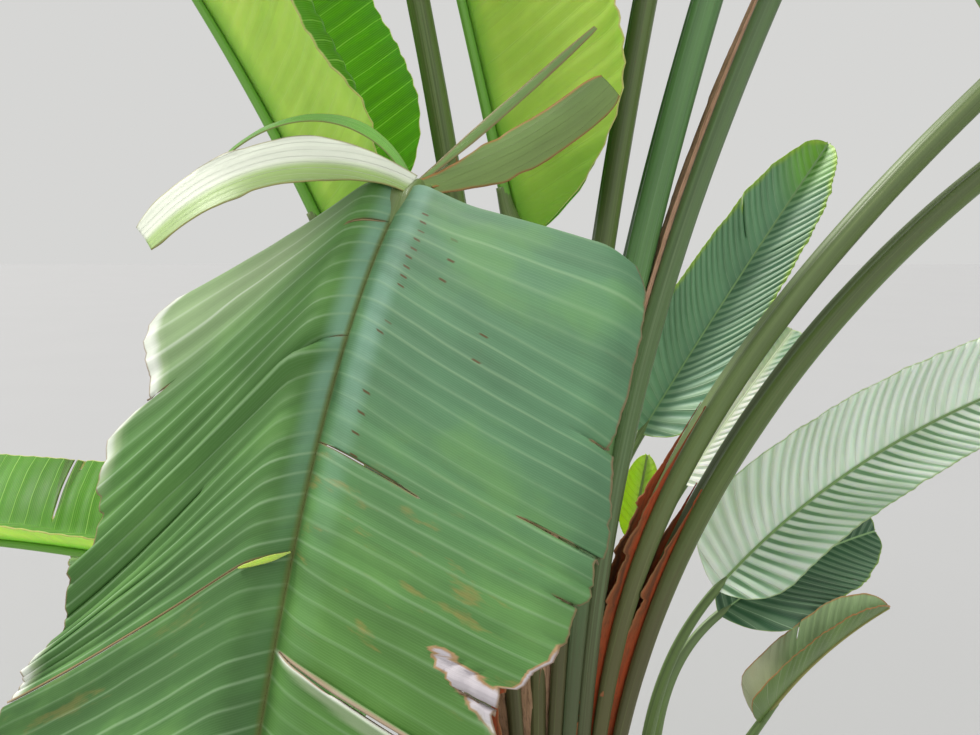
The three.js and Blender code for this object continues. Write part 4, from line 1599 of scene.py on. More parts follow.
    def sheet(self) -> bpy.types.Mesh:
        """Lays out the blade flat, with its rows along its veins, split where it is torn.

        Returns:
            The sheet.
        """
        splits = self.splits()
        rows = self.rows(splits)
        shares = np.concatenate([np.linspace(0.0, 1.0, self.columns + 1), self.BESIDE_MARGIN])
        shares = np.unique(np.round(shares, 5))
        flat = FlatSheet()
        for half in Half:
            margins = self.margin(half, rows)
            edges: list[tuple[Array, Array]] = []
            for i, vein in enumerate(rows):
                reach = margins[i] * shares
                row = Row(half, np.full_like(reach, vein), reach, margins[i])
                lift, paleness, depth = self.surface(row)
                tear = next((t for t in splits if t.half == half and t.at == vein), None)
                torn = tear is not None and 0 < i < len(rows) - 1
                opened = tear.opened(row) if torn else np.zeros_like(reach)
                lips = []
                for part in (-1, 1) if torn else (0,):
                    z = lift + part * tear.lift * opened if torn else lift
                    y = row.vein + self.sweep_on(row)
                    numbers = flat.add(
                        np.stack([half * reach, y, z], axis=1), run=half * reach, vein=row.vein,
                        shift=part * opened * (tear.gap / 2.0 if torn else 0.0),
                        edge=self.to_edge(row, splits), pale=paleness, pleat=depth)
                    if lips:
                        numbers = np.where(opened > 0.0001, numbers, lips[0])
                    lips.append(numbers)
                edges.append((lips[0], lips[-1]))
            for (_, upper), (lower, _) in zip(edges[:-1], edges[1:]):
                flat.weave(upper, lower, half is RIGHT)
        return flat.mesh("blade_" + self.name + "_flat")

    def to_edge(self, row: Row, splits: Sequence[Tear]) -> Array:
        """Measures to the nearest margin or torn lip.

        Args:
            row: The places.
            splits: The blade's tears.

        Returns:
            Each place's distance.
        """
        nearest = np.minimum(row.margin - row.reach, row.vein + 0.002)
        for tear in splits:
            if tear.half == row.half:
                beside = np.abs(row.vein - tear.at) + np.maximum(tear.start - row.reach, 0.0)
                beside = beside + np.maximum(row.reach - tear.end, 0.0)
                nearest = np.minimum(nearest, beside)
        return np.maximum(nearest, 0.0)

    def stalk_points(self, end: Axes) -> Array:
        """Draws the stalk as one soft curve from its foot to the blade's base.

        Args:
            end: The axes that it arrives with.

        Returns:
            Its points, evenly apart.
        """
        foot, base = np.array(self.foot), np.array(self.base)
        span = float(np.linalg.norm(base - foot))
        a = foot + direction(self.leans[0], self.opening) * self.handles[0] * span
        b = base - end.along * self.handles[1] * span
        t = np.linspace(0.0, 1.0, CURVE_STEPS)[:, None]
        curve = (1 - t) ** 3 * foot + 3 * t * (1 - t) ** 2 * a + 3 * t**2 * (1 - t) * b + t**3 * base
        runs = np.concatenate([[0.0], np.cumsum(np.linalg.norm(np.diff(curve, axis=0), axis=1))])
        at = np.linspace(0.0, runs[-1], STALK_STEPS + 1)
        return np.stack([np.interp(at, runs, curve[:, k]) for k in range(3)], axis=1)

    def stalk_line(self) -> LimbLine:
        """Lays out the stalk from its foot to where it runs out below the rib.

        Returns:
            Its line.
        """
        lean = self.leans[1] if self.stalk_lean is None else self.stalk_lean
        end_heading = self.away if self.stalk_heading is None else self.stalk_heading
        end, foot_side = axes(lean, end_heading, self.roll), axes(0.0, self.rank).side
        points = self.stalk_points(end)
        usual = np.array(self.SUCKER_STALK if self.sucker else self.FAN_STALK)
        foot_size, middle_size, tip_size = usual * ((1, 1), (1, self.stout), (1, self.stout))
        line = LimbLine()
        for k, way in enumerate(np.gradient(points, axis=0)):
            share = k / STALK_STEPS
            along = unit(way)
            side = mix(foot_side, end.side, smooth(share / 0.9))
            side = unit(side - along * float(side @ along))
            low = smooth(share / 0.5)
            high = max(0.0, (share - 0.5) / 0.5)
            size = mix(foot_size, middle_size, low) if share < 0.5 else mix(middle_size, tip_size, high)
            power = 2.0 / mix(self.FOOT_POWER, self.STALK_POWER, low)
            hug = 0.0 if self.sucker else 0.006 * math.exp(-share / 0.1)
            line.add(
                points[k], Axes(along, -np.cross(along, side), side), [*size, power],
                [hug, size[1] * 0.5 * smooth(share / 0.3), 0.0])
        self.run_out(line)
        return line

    def run_out(self, line: LimbLine) -> None:
        """Takes the stalk on below the rib, where it thins out.

        Args:
            line: The stalk's line up to the blade's base.
        """
        ribs, laid = self.rib_line()
        reach, inner = 0.05 if self.sucker else 0.09, self.rib_size(0.0)
        last_wide, last_thick, power = line.sizes[-1]
        for k in range(1, RUN_OUT_STEPS + 1):
            share = k / RUN_OUT_STEPS
            place = share * reach / self.length * RIB_STEPS
            low = int(place)
            spot, here = mix(ribs[low], ribs[low + 1], place - low), laid[low]
            wide = mix(last_wide, inner[0] * 0.9, smooth(share))
            thick = mix(last_thick, inner[1], smooth(share))
            drop = smooth(share) * (thick - 0.002)
            line.add(
                spot - here.face * drop, here, [wide, thick, power],
                [0.0, thick * 0.5 * (1.0 - share), 0.0])

    @property
    def opening(self) -> float:
        """The heading that the stalk sets off to."""
        return self.rank if self.foot_heading is None else self.foot_heading

    def rib_size(self, share: float) -> tuple[float, float]:
        """The rib's half width and half depth at a share of its length."""
        return mix(self.rib_half, 0.0022, share**0.8), mix(self.rib_half * 0.95, 0.002, share**0.8)

    def build_stalk(self) -> None:
        """Makes the stalk and, on the fan's leaves, its dry margins."""
        line = self.stalk_line()
        path, distance = line.path(), line.distance()
        values = {
            "Path": path, "Around": 15 if self.sucker else 29, "Rings": 64 if self.sucker else 120,
            "Distance": distance, "Fibre": 0.0004 if self.sucker else 0.0009, "Seed": float(self.seed)}
        node = "petiole_" + self.name
        keep("stalk_" + self.name, limb_tree(), values, self.stalk, node)
        if self.margins:
            for half, label in ((-1.0, "near"), (1.0, "far")):
                values = {
                    "Path": path, "Half": half, "Steps": 170, "Width": self.margins.width,
                    "Ragged": self.margins.ragged, "Start": 0.03, "End": self.margin_end,
                    "Distance": distance, "Seed": self.seed * 3.0 + half}
                name = "margin_" + self.name + "_" + label
                keep(name, margin_tree(), values, self.margins, node)
        discard(path)

    def build_rib(self) -> None:
        """Makes the rib, a keel below the blade that is just seen in its fold above."""
        line = LimbLine()
        for share, point, here in zip(np.linspace(0.0, 1.0, RIB_STEPS + 1), *self.rib_line()):
            wide, deep = self.rib_size(share)
            line.add(point - here.face * (deep - 0.0032), here, (wide, deep, 1.0), (0.0, deep * 0.15, 0.0))
        path = line.path()
        values = {
            "Path": path, "Around": 13, "Rings": 60 if self.sucker else 110,
            "Distance": self.length, "Fibre": 0.0003, "Seed": float(self.seed)}
        finish = self.blade.rib_finish()
        keep("rib_" + self.name, limb_tree(), values, finish, "blade_" + self.name)
        discard(path)

    def build_blade(self) -> None:
        """Makes the blade."""
        points, stations = self.rib_line()
        rib = turned_line("rib_path", points, stations)
        shape, middle = self.section()
        section = line_object("section_path", shape)
        values = {
            "Rib": rib, "Section": section, "Length": self.length, "Middle": middle,
            "Pleat": self.pleat, "Ripple": self.ripple, "Spacing": self.blade.spacing,
            "Thickness": self.thickness, "Seed": float(self.seed)}
        node = "blade_" + self.name
        keep("leaf_" + self.name, blade_tree(), values, self.blade, node, self.sheet())
        discard(rib, section)

    def build(self) -> None:
        """Makes the whole leaf."""
        self.build_stalk()
        self.build_rib()
        self.build_blade()


@dataclass(frozen=True)
class HangingLeaf(Leaf):
    """The old leaf that hangs forward, whose margins, tears and dry parts are the photo's."""

    right_angles: tuple[float, float, float] = (37.0, 10.0, -13.0)
    left_angles: tuple[float, float, float] = (43.0, -24.0, 6.0)

    # Each margin pairs a vein with its reach, and each spread pairs a vein with how far it spreads.
    RIGHT_MARGIN = (
        (0.0, 0.29), (0.005, 0.302), (0.016, 0.311), (0.027, 0.316), (0.063, 0.319), (0.093, 0.316),
        (0.128, 0.312), (0.152, 0.307), (0.161, 0.302), (0.1628, 0.311), (0.201, 0.313), (0.236, 0.315),
        (0.272, 0.313), (0.279, 0.309), (0.3, 0.308), (0.3285, 0.305), (0.3375, 0.298), (0.34, 0.294),
        (0.39, 0.288), (0.406, 0.281), (0.416, 0.271), (0.437, 0.258), (0.4392, 0.24), (0.466, 0.239),
        (0.489, 0.247), (0.5085, 0.25), (0.5112, 0.262), (0.597, 0.292), (0.658, 0.297))
    LEFT_MARGIN = (
        (0.0, 0.316), (0.006, 0.345), (0.011, 0.353), (0.027, 0.339), (0.0535, 0.316), (0.075, 0.3),
        (0.0762, 0.312), (0.0826, 0.33), (0.0862, 0.345), (0.1045, 0.334), (0.123, 0.333), (0.1585, 0.317),
        (0.183, 0.318), (0.2, 0.315), (0.236, 0.321), (0.289, 0.328), (0.319, 0.348), (0.341, 0.368),
        (0.356, 0.362), (0.4215, 0.368), (0.4235, 0.38), (0.47, 0.384), (0.538, 0.362), (0.626, 0.336))
    RIGHT_SPREAD = (
        (0.0, 0.11), (0.05, 0.18), (0.11, 0.33), (0.16, 0.33), (0.22, 0.26), (0.27, 0.23),
        (0.32, 0.15), (0.37, 0.1), (0.43, 0.06), (0.5, 0.12), (0.6, 0.1), (0.8, 0.03), (1.4, 0.0))
    LEFT_SPREAD = (
        (0.0, 0.2), (0.05, 0.4), (0.11, 0.64), (0.2, 0.74), (0.25, 0.72), (0.3, 0.65),
        (0.35, 0.55), (0.4, 0.43), (0.42, 0.4), (0.46, 0.37), (0.56, 0.38), (0.8, 0.08), (1.4, 0.0))
    CREASE = 0.198
    FLAP = 0.512

    def rise(self, half: Half, out: float) -> float:
        """The half's angle at a share of its width out from the rib: near, then far, then curled."""
        near, far, curl = self.right_angles if half is RIGHT else self.left_angles
        return mix(near, far, float(smooth((out - 0.05) / 0.12))) + curl * out**2

    def margin(self, half: Half, vein: Array) -> Array:
        """How far the blade reaches from its rib.

        Args:
            half: Which half.
            vein: The veins, as distances along the rib.

        Returns:
            The reach on each.
        """
        table = np.array(self.RIGHT_MARGIN if half is RIGHT else self.LEFT_MARGIN)
        widest = self.half_width * (self.right_share if half is RIGHT else self.left_share)
        low = np.maximum(LEAST_HALF_WIDTH * 0.7, widest * self.outline(vein / self.length))
        known = np.interp(vein, table[:, 0], table[:, 1])
        uneven = Wander(17 + half, 0.007)(vein) * 0.0022 + Wander(3 + half, 0.002)(vein) * 0.0008
        frayed = mix(0.35, 1.0, smooth((vein - 0.1) / 0.2)) if half is RIGHT else 1.1
        return mix(known, low, smooth((vein - 0.6) / 0.12)) + uneven * frayed

    def sweep_on(self, row: Row) -> Array:
        """Spreads the veins, and lets them sag near the stalk.

        Args:
            row: The places.

        Returns:
            How much further than the even sweep the veins have run there.
        """
        vein, reach = row.vein, row.reach
        table = np.array(self.RIGHT_SPREAD if row.half is RIGHT else self.LEFT_SPREAD)
        sag, straighten = (0.018, 1.1) if row.half is RIGHT else (0.011, 0.35)
        run = reach - SHOULDER * (1.0 - np.exp(-reach / SHOULDER))
        extra = np.interp(vein, table[:, 0], table[:, 1]) * (run - straighten * run**2)
        return extra + sag * smooth(reach / 0.13) * np.exp(-vein / 0.07)

    def surface(self, row: Row) -> tuple[Array, Array, Array]:
        """How far the sheet stands out, how pale it is, and its share of the pleats' depth."""
        return self.right_surface(row) if row.half is RIGHT else self.left_surface(row)

    def right_surface(self, row: Row) -> tuple[Array, Array, Array]:
        """Raises the right half's torn flap and crumples its dead patch.

        Args:
            row: The places.

        Returns:
            How far they stand out, how dry they are, and their share of the pleats' depth.
        """
        vein, reach, near_edge = row.vein, row.reach, row.margin - row.reach
        rim = np.clip(1.0 - near_edge / 0.03, 0.0, 1.0)
        lips = 0.007 * rim**2 * np.exp(-(((vein - 0.29) / 0.012) ** 2))
        flap = np.clip(1.0 - (vein - self.FLAP) / 0.03, 0.0, 1.0) * (vein >= self.FLAP)
        crinkle = Wander(41, 0.0045)(vein) * 0.006 + Wander(43, 0.006)(reach) * 0.006
        edge = -0.012 * rim**2 * (vein < 0.38)
        raised = 0.014 * flap**1.5 * smooth(reach / 0.1)
        dead = self.dead(row)
        hem = (1.0 - smooth(near_edge / 0.007)) * smooth((vein - 0.37) / 0.03)
        hem = hem * (1.0 - smooth((vein - 0.44) / 0.005))
        down = vein - self.FLAP
        turned = (1.0 - smooth((down - 0.12 * reach) / 0.005)) * 0.5
        turned = np.maximum(turned, 1.0 - smooth((down - 0.0015) / 0.002)) * (down >= 0.0)
        paleness = np.clip(dead * 1.1 + hem + turned * smooth(reach / 0.02), 0.0, 1.0)
        return lips + edge + raised + dead * crinkle, paleness, 0.1 + 0.1 * np.exp(-reach / 0.06)

    def left_surface(self, row: Row) -> tuple[Array, Array, Array]:
        """Creases the left half, dries its margin and pales its upper part, partly as painted sunlight.

        Args:
            row: The places.

        Returns:
            How far they stand out, how pale they are, and their share of the pleats' depth.
        """
        vein, reach, near_edge = row.vein, row.reach, row.margin - row.reach
        valley = -0.013 * np.exp(-(((vein - self.CREASE) / 0.006) ** 2))
        ridge = 0.011 * np.exp(-(((vein - self.CREASE - 0.016) / 0.01) ** 2))
        wave = 0.0035 * np.sin(vein * (TURN / 0.105) + 0.6) * smooth((reach - 0.08) / 0.2)
        fold = Wander(51, 0.06)(vein) * 0.006 * smooth((reach - 0.05) / 0.25)
        lift = (valley + ridge) * smooth(reach / 0.05) + (wave + fold) * smooth((vein - 0.01) / 0.04)
        # The pale frill along the upper margin and the broad pale wash near the stalk are partly dry leaf
        # and partly painted sunlight.
        frill = (1.0 - smooth(near_edge / 0.03)) * (1.0 - smooth((vein - 0.1) / 0.05)) * 0.9
        tip = (1.0 - smooth(near_edge / 0.035)) * smooth((vein - 0.3) / 0.03) * (vein < 0.423)
        wide = smooth((reach - 0.03) / 0.12) * (1.0 - smooth((vein - 0.03) / 0.07)) * 0.4
        upper = 1.0 - smooth((vein - 0.405) / 0.02)
        depth = 0.1 + upper * (0.12 + 0.3 * smooth((reach - 0.05) / 0.15))
        return lift, np.clip(np.maximum(frill + wide, tip), 0.0, 1.0), depth

    def dead(self, row: Row) -> Array:
        """Finds the dead band of the right half, which widens to the lower margin.

        Args:
            row: The places.

        Returns:
            How dead they are, from 0 to 1.
        """
        out = np.maximum(row.reach - 0.178, 0.0)
        away = np.abs(row.vein - 0.4395 - 0.34 * out) / (0.006 + 0.13 * out)
        return (1.0 - smooth((away - 0.7) / 0.6)) * smooth((row.reach - 0.174) / 0.006)

    def build(self) -> None:
        """Makes the whole leaf with its torn strips."""
        super().build()
        for strip in TORN_STRIPS:
            strip.build()


@dataclass(frozen=True)
class TornStrip:
    """A strip torn free between two veins: a ribbon that bends, turns and ends in a point."""

    name: str
    start: Point
    lean: tuple[float, float]
    heading: tuple[float, float]
    bend: float
    length: float
    half_width: float
    turn: tuple[float, float]
    finish: BladeFinish
    cup: float = 20.0
    pleat: float = 0.0008
    point: float = 0.85
    blunt: float = 4.0
    root: float = 0.35
    root_over: float = 0.4
    ripple: float = 0.004
    seed: int = 5

    ACROSS = 16
    BENDS = 20
    SECTION_REACH = 1.4

    def axes_at(self, t: float) -> Axes:
        """The strip's axes at a share of its length."""
        lean = mix(*self.lean, t**self.bend)
        return axes(lean, mix(*self.heading, t), mix(*self.turn, t))

    def half_at(self, t: float) -> float:
        """Measures half the strip's width.

        Args:
            t: A share of its length.

        Returns:
            Half its width there.
        """
        root = mix(self.root, 1.0, float(smooth(t / self.root_over)))
        uneven = 1.0 + 0.05 * float(Wander(self.seed, 0.07)(np.array([t]))[0])
        return self.half_width * root * math.sqrt(1.0 - self.point * t**self.blunt) * uneven

    def build(self) -> None:
        """Makes the strip."""
        path = turned_line("strip_path", *walk(self.start, self.axes_at, self.length, STRIP_STEPS))
        flat = FlatSheet()
        shares = np.linspace(-1.0, 1.0, self.ACROSS + 1)
        rows: list[Array] = []
        for t in np.arange(STRIP_STEPS + 1) / STRIP_STEPS:
            half = self.half_at(float(t))
            x = shares * half
            y = np.full_like(x, t * self.length)
            rows.append(
                flat.add(
                    np.stack([x, y, np.zeros_like(x)], axis=1), run=y, vein=x + 0.4,
                    edge=half - np.abs(x), pleat=np.ones_like(x)))
        for lower, upper in zip(rows[:-1], rows[1:]):
            flat.weave(lower, upper)
        widest = self.half_width * self.SECTION_REACH
        arc = np.linspace(-widest, widest, 2 * self.BENDS + 1)
        angles = np.radians(-self.cup * (arc[:-1] + arc[1:]) / 2.0 / self.half_width)
        step = arc[1] - arc[0]
        x = np.concatenate([[0.0], np.cumsum(np.cos(angles) * step)])
        y = np.concatenate([[0.0], np.cumsum(np.sin(angles) * step)])
        shape = np.stack([x - x[self.BENDS], y - y[self.BENDS], np.zeros_like(arc)], axis=1)
        section = line_object("strip_section", shape)
        values = {
            "Rib": path, "Section": section, "Length": self.length, "Middle": widest, "Sweep": 0.0,
            "Pleat": self.pleat, "Ripple": self.ripple, "Spacing": self.finish.spacing,
            "Thickness": 0.0016, "Seed": float(self.seed)}
        sheet = flat.mesh(self.name + "_flat")
        keep(self.name, blade_tree(), values, self.finish, "blade_front", sheet)
        discard(path, section)


class Side(Enum):
    """The side that a leaf ranks to, with its heading."""

    RIGHT = 0.0
    LEFT = 180.0


@dataclass(frozen=True)
class Stub:
    """A low stump beside the stem that carries the sucker leaves of one side."""

    x: float
    y: float
    height: float
    half_x: float
    half_y: float


STUBS = {Side.RIGHT: Stub(0.158, 0.15, 0.19, 0.052, 0.04), Side.LEFT: Stub(-0.15, 0.14, 0.17, 0.04, 0.036)}


@dataclass(frozen=True)
class Stem:
    """The short stem: root flare, ringed waist, flat fork and two stubs for the suckers."""

    height: float = STEM_HEIGHT
    top: tuple[float, float] = (0.118, 0.072)
    waist: tuple[float, float] = (0.108, 0.082)
    waist_height: float = 0.23
    flare: tuple[float, float] = (0.172, 0.14)
    flare_height: float = 0.055
    squareness: float = 3.0
    ring_pitch: float = RING_PITCH
    ring_relief: float = 0.0045
    stub_squareness: float = 2.6

    TRUNK_RINGS, TRUNK_SIDES = 201, 73
    STUB_RINGS, STUB_SIDES = 91, 49
    FIBRES = 64

    def size_at(self, z: float) -> tuple[float, float, float]:
        """Measures the trunk.

        Args:
            z: A height.

        Returns:
            Its half sizes and its squareness there.
        """
        flare = math.exp(-z / self.flare_height)
        up = float(smooth((z - self.waist_height) / (self.height - self.waist_height)))
        half_x, half_y = (
            mix(mix(low, high, up), foot, flare)
            for low, high, foot in zip(self.waist, self.top, self.flare))
        return half_x, half_y, mix(self.squareness, 2.0, flare)

    def ring(self, z: float) -> float:
        """How far the ringed bark stands out at a height, in a slanting tooth for each ring."""
        part = (z / self.ring_pitch) % 1.0
        return self.ring_relief * (1.0 - 2.0 * part**2.5) * float(smooth(z / 0.06))

    def build(self) -> None:
        """Makes the trunk, its stubs and the fibres on its rings."""
        heights = np.linspace(0.0, self.height, self.TRUNK_RINGS)
        sizes = []
        for z in heights:
            half_x, half_y, square = self.size_at(float(z))
            out = self.ring(float(z))
            sizes.append([half_x + out, half_y + out, 2.0 / square])
        self.column("stem_trunk", (0.0, 0.0), heights, sizes, self.TRUNK_SIDES)
        for side, stub in STUBS.items():
            levels = np.linspace(0.0, stub.height, self.STUB_RINGS)
            widths = []
            for z in levels:
                spread = 1.0 + 0.35 * math.exp(-z / 0.04)
                out = self.ring(float(z)) * 0.5
                power = 2.0 / self.stub_squareness
                widths.append([stub.half_x * spread + out, stub.half_y * spread + out, power])
            name = "stem_stub_" + side.name.lower()
            self.column(name, (stub.x, stub.y), levels, widths, self.STUB_SIDES)
        self.hang_fibres()

    def column(
        self, name: str, at: tuple[float, float], heights: Array, sizes: list[list[float]], around: int
    ) -> None:
        """Makes one upright column of bark.

        Args:
            name: The piece's name.
            at: Where it stands.
            heights: The heights of its rings.
            sizes: Its half sizes and power at each.
            around: How many points it has round it.
        """
        line = LimbLine()
        for z, size in zip(heights, sizes):
            line.add(np.array([*at, z]), UPRIGHT, size, (0.0, 0.0, 0.003))
        path = line.path()
        values = {
            "Path": path, "Around": around, "Rings": len(heights), "Distance": float(heights[-1]),
            "Fibre": 0.002}
        keep(name, limb_tree(), values, BARK, "stem")
        discard(path)

    def hang_fibres(self) -> None:
        """Hangs stiff fibres of old sheaths from the upper edge of each ring."""
        points, aims = [], []
        for level in range(2, 8):
            z = level * self.ring_pitch - 0.002
            half_x, half_y, square = self.size_at(z)
            for k in range(self.FIBRES):
                angle = TURN * (k + 0.37 * level) / self.FIBRES
                c, s = math.cos(angle), math.sin(angle)
                x = math.copysign(abs(c) ** (2.0 / square), c) * (half_x + 0.001)
                y = math.copysign(abs(s) ** (2.0 / square), s) * (half_y + 0.001)
                points.append((x, y, z))
                aims.append((c * 0.55, s * 0.55, 0.75))
        mesh = bpy.data.meshes.new("ring_points")
        mesh.from_pydata(points, [], [])
        made = mesh.attributes.new("aim", "FLOAT_VECTOR", "POINT")
        made.data.foreach_set("vector", np.array(aims, dtype=np.float32).ravel())
        keep("stem_fibres", fibre_tree(), {}, replace(DRY_TAN, slot="stem"), "stem", mesh)


# The plant


TORN_STRIPS = [
    TornStrip(
        "strip_left_low", (-0.177, -0.435, 1.499), (59, 137), (190, 183), 0.83, 0.32, 0.0345,
        (-58, -44), TORN_PALE, cup=-16, pleat=0.0012, root=0.4, point=0.5, blunt=9, seed=5),
    TornStrip(
        "strip_left_high", (-0.182, -0.43, 1.505), (23, 132), (149, 170), 0.78, 0.29, 0.0105,
        (-30, -30), TORN_GREEN, cup=-24, pleat=0.0004, root=0.5, seed=6),
    TornStrip(
        "strip_right_low", (-0.168, -0.435, 1.496), (77, 51), (27, 27), 0.87, 0.285, 0.0265,
        (60, 70), TORN_OLIVE, cup=18, pleat=0.0007, root=0.4, point=0.6, blunt=14, seed=7),
    TornStrip(
        "strip_right_high", (-0.174, -0.43, 1.499), (53, 51), (32, 32), 1.0, 0.32, 0.0065,
        (60, 60), TORN_GREY, cup=14, pleat=0.0004, root=0.5, seed=8),
    TornStrip(
        "scrap_bright", (-0.2808, -0.6472, 1.1448), (101, 110), (208, 165), 1.0, 0.052, 0.0032,
        (-60, -60), LIGHT_GREEN, cup=10, pleat=0.0, root=0.25, point=1.0, blunt=2, seed=10),
    TornStrip(
        "scrap_green", (-0.16, -0.428, 1.5), (70, 30), (40, 60), 1.0, 0.055, 0.012, (20, 60),
        TORN_OLIVE, cup=30, pleat=0.0003, root=0.7, seed=9)]


def side_of(name: str) -> Side:
    """The side that a leaf's name starts with."""
    return Side[name.split("_")[0].upper()]


def fan_leaf(name: str, pitch: float, **more: Any) -> Leaf:
    """A leaf of the fan, whose foot stands on the fork at that many pitches from its middle."""
    usual = {"rank": side_of(name).value, "blade": FAN_GREEN, "margins": DRY_TAN}
    return Leaf(name=name, foot=(pitch * FOOT_PITCH, 0.0, STEM_HEIGHT + CLEAR), **{**usual, **more})


def sucker(name: str, pitch: float, **more: Any) -> Leaf:
    """Sets out a small leaf.

    Args:
        name: Its side and number.
        pitch: How many pitches its foot stands from the middle of its stub.
        more: Its own sizes and finish.

    Returns:
        The leaf.
    """
    stub = STUBS[side_of(name)]
    foot = (stub.x + pitch * SUCKER_PITCH, stub.y, stub.height + CLEAR)
    usual = {
        "rank": side_of(name).value, "stalk": STALK_YOUNG, "sucker": True, "row_step": 0.0048,
        "columns": 14, "thickness": 0.0016, "ripple": 0.003, "nicks": 2, "rib_half": 0.0055,
        "arch": 8.0, "pleat": 0.0018, "spread": 0.6}
    return Leaf(name="sucker_" + name, foot=foot, **{**usual, **more})


HANGING = HangingLeaf(
    name="front", foot=(-3.75 * FOOT_PITCH, 0.0, STEM_HEIGHT + CLEAR), rank=180.0, leans=(22, 133, 162),
    foot_heading=255, base=(-0.182, -0.43, 1.494), stalk_lean=90, stalk_heading=262, handles=(0.38, 0.2),
    heading=242.8, tip_heading=257.5, ease=0.2, roll=-6.4, length=1.4, half_width=0.325, fold=20,
    right_share=0.957, left_share=1.046, base_round=0.035, stalk=STALK_OLIVE, blade=GREY_GREEN,
    pleat=0.0028, ripple=0.007, thickness=0.0022, row_step=0.0052, columns=42, nicks=3, margins=DRY_RED,
    seed=1, rib_half=0.0085,
    tears=(
        Tear(RIGHT, 0.3125, 0.0036, start=0.003, end=0.141, lift=-0.001),
        Tear(RIGHT, 0.276, 0.008, start=0.235, lift=-0.003), Tear(RIGHT, 0.338, 0.005, start=0.276),
        Tear(RIGHT, 0.162, 0.006, start=0.288), Tear(RIGHT, 0.512, 0.009, start=0.012, lift=-0.003),
        Tear(RIGHT, 0.84, 0.026), Tear(RIGHT, 0.457, 0.01, start=0.2, lift=0.003),
        Tear(LEFT, 0.197, 0.004, start=0.003, end=0.064),
        Tear(LEFT, 0.052, 0.004, start=0.006, end=0.05, lift=0.002),
        Tear(LEFT, 0.171, 0.006, start=0.006, end=0.03), Tear(LEFT, 0.0757, 0.01, start=0.27),
        Tear(LEFT, 0.4223, 0.003, start=0.004, lift=-0.002), Tear(LEFT, 0.63, 0.03),
        Tear(LEFT, 1.092, 0.03, start=0.15)))
FAN = [
    fan_leaf(
        "right_1", 4.5, leans=(2, 57, 100), base=(0.802, -0.02, 1.635), handles=(0.42, 0.26), length=1.45,
        half_width=0.3, fold=40, stalk=STALK_BROWN, margins=DRY_RED, margin_end=0.42, seed=2,
        tears=(Tear(LEFT, 0.7975, 0.034), Tear(LEFT, 1.16, 0.022), Tear(RIGHT, 1.015, 0.03))),
    fan_leaf(
        "right_2", 3.5, leans=(1, 46, 84), base=(0.714, -0.008, 1.709), handles=(0.3, 0.52), length=1.5,
        half_width=0.305, fold=42, stalk=STALK_OLIVE, margins=DRY_RED, margin_end=0.5, seed=3,
        tears=(Tear(RIGHT, 0.9, 0.03), Tear(LEFT, 1.125, 0.026))),
    fan_leaf(
        "right_3", 2.5, leans=(1, 25, 54), base=(0.443, 0.0, 2.049), length=1.6, half_width=0.31, fold=44,
        stalk=STALK_MID, margin_end=0.93, seed=4, tears=(Tear(LEFT, 1.056, 0.026),)),
    fan_leaf(
        "right_4", 1.5, margin_end=0.52, leans=(1, 17, 40), base=(0.338, 0.0, 2.14), tip_heading=4,
        length=1.62, half_width=0.31, fold=45, stalk=STALK_BLUE, stout=1.3, seed=5,
        tears=(Tear(RIGHT, 1.0, 0.026),)),
    fan_leaf(
        "right_5", 0.5, margin_end=0.5, leans=(1, 11, 26), base=(0.219, 0.0, 2.201), tip_heading=-6,
        length=1.6, half_width=0.3, fold=46, stalk=STALK_BROWN, seed=6, tears=(Tear(LEFT, 1.184, 0.024),)),
    fan_leaf(
        "left_5", -0.5, leans=(0, 13, 16), base=(-0.042, 0.0, 1.43), handles=(0.5, 0.12), length=1.56,
        half_width=0.3, fold=45, stalk=STALK_OLIVE, blade=SUNLIT_GREEN, nicks=1, right_bend=(44, 36, -20),
        seed=7),
    fan_leaf(
        "left_4", -1.5, margin_end=0.5, leans=(3, 12, 30), base=(-0.263, 0.0, 2.121), tip_heading=185,
        length=1.6, half_width=0.3, fold=45, stalk=STALK_BROWN, seed=8, tears=(Tear(LEFT, 0.96, 0.026),)),
    fan_leaf(
        "left_3", -2.5, leans=(6, 24, 50), base=(-0.322, 0.0, 1.4), length=1.56, half_width=0.305, fold=45,
        stalk=STALK_OLIVE, blade=SUNLIT_GREEN, nicks=1, right_bend=(48, 20, -85), left_bend=(53, 47, -10),
        seed=9, tears=(Tear(LEFT, 1.092, 0.024),)),
    HANGING,
    fan_leaf(
        "left_1", -5.0, leans=(22, 78, 104), base=(-0.52, 0.04, 0.866), heading=176, length=1.4,
        half_width=0.225, fold=26, pleat=0.0008, stalk=STALK_OLIVE, blade=SUNLIT_GREEN, seed=10,
        tears=(Tear(LEFT, 0.33, 0.04, start=0.05), Tear(RIGHT, 0.7, 0.036), Tear(LEFT, 1.008, 0.03)))]
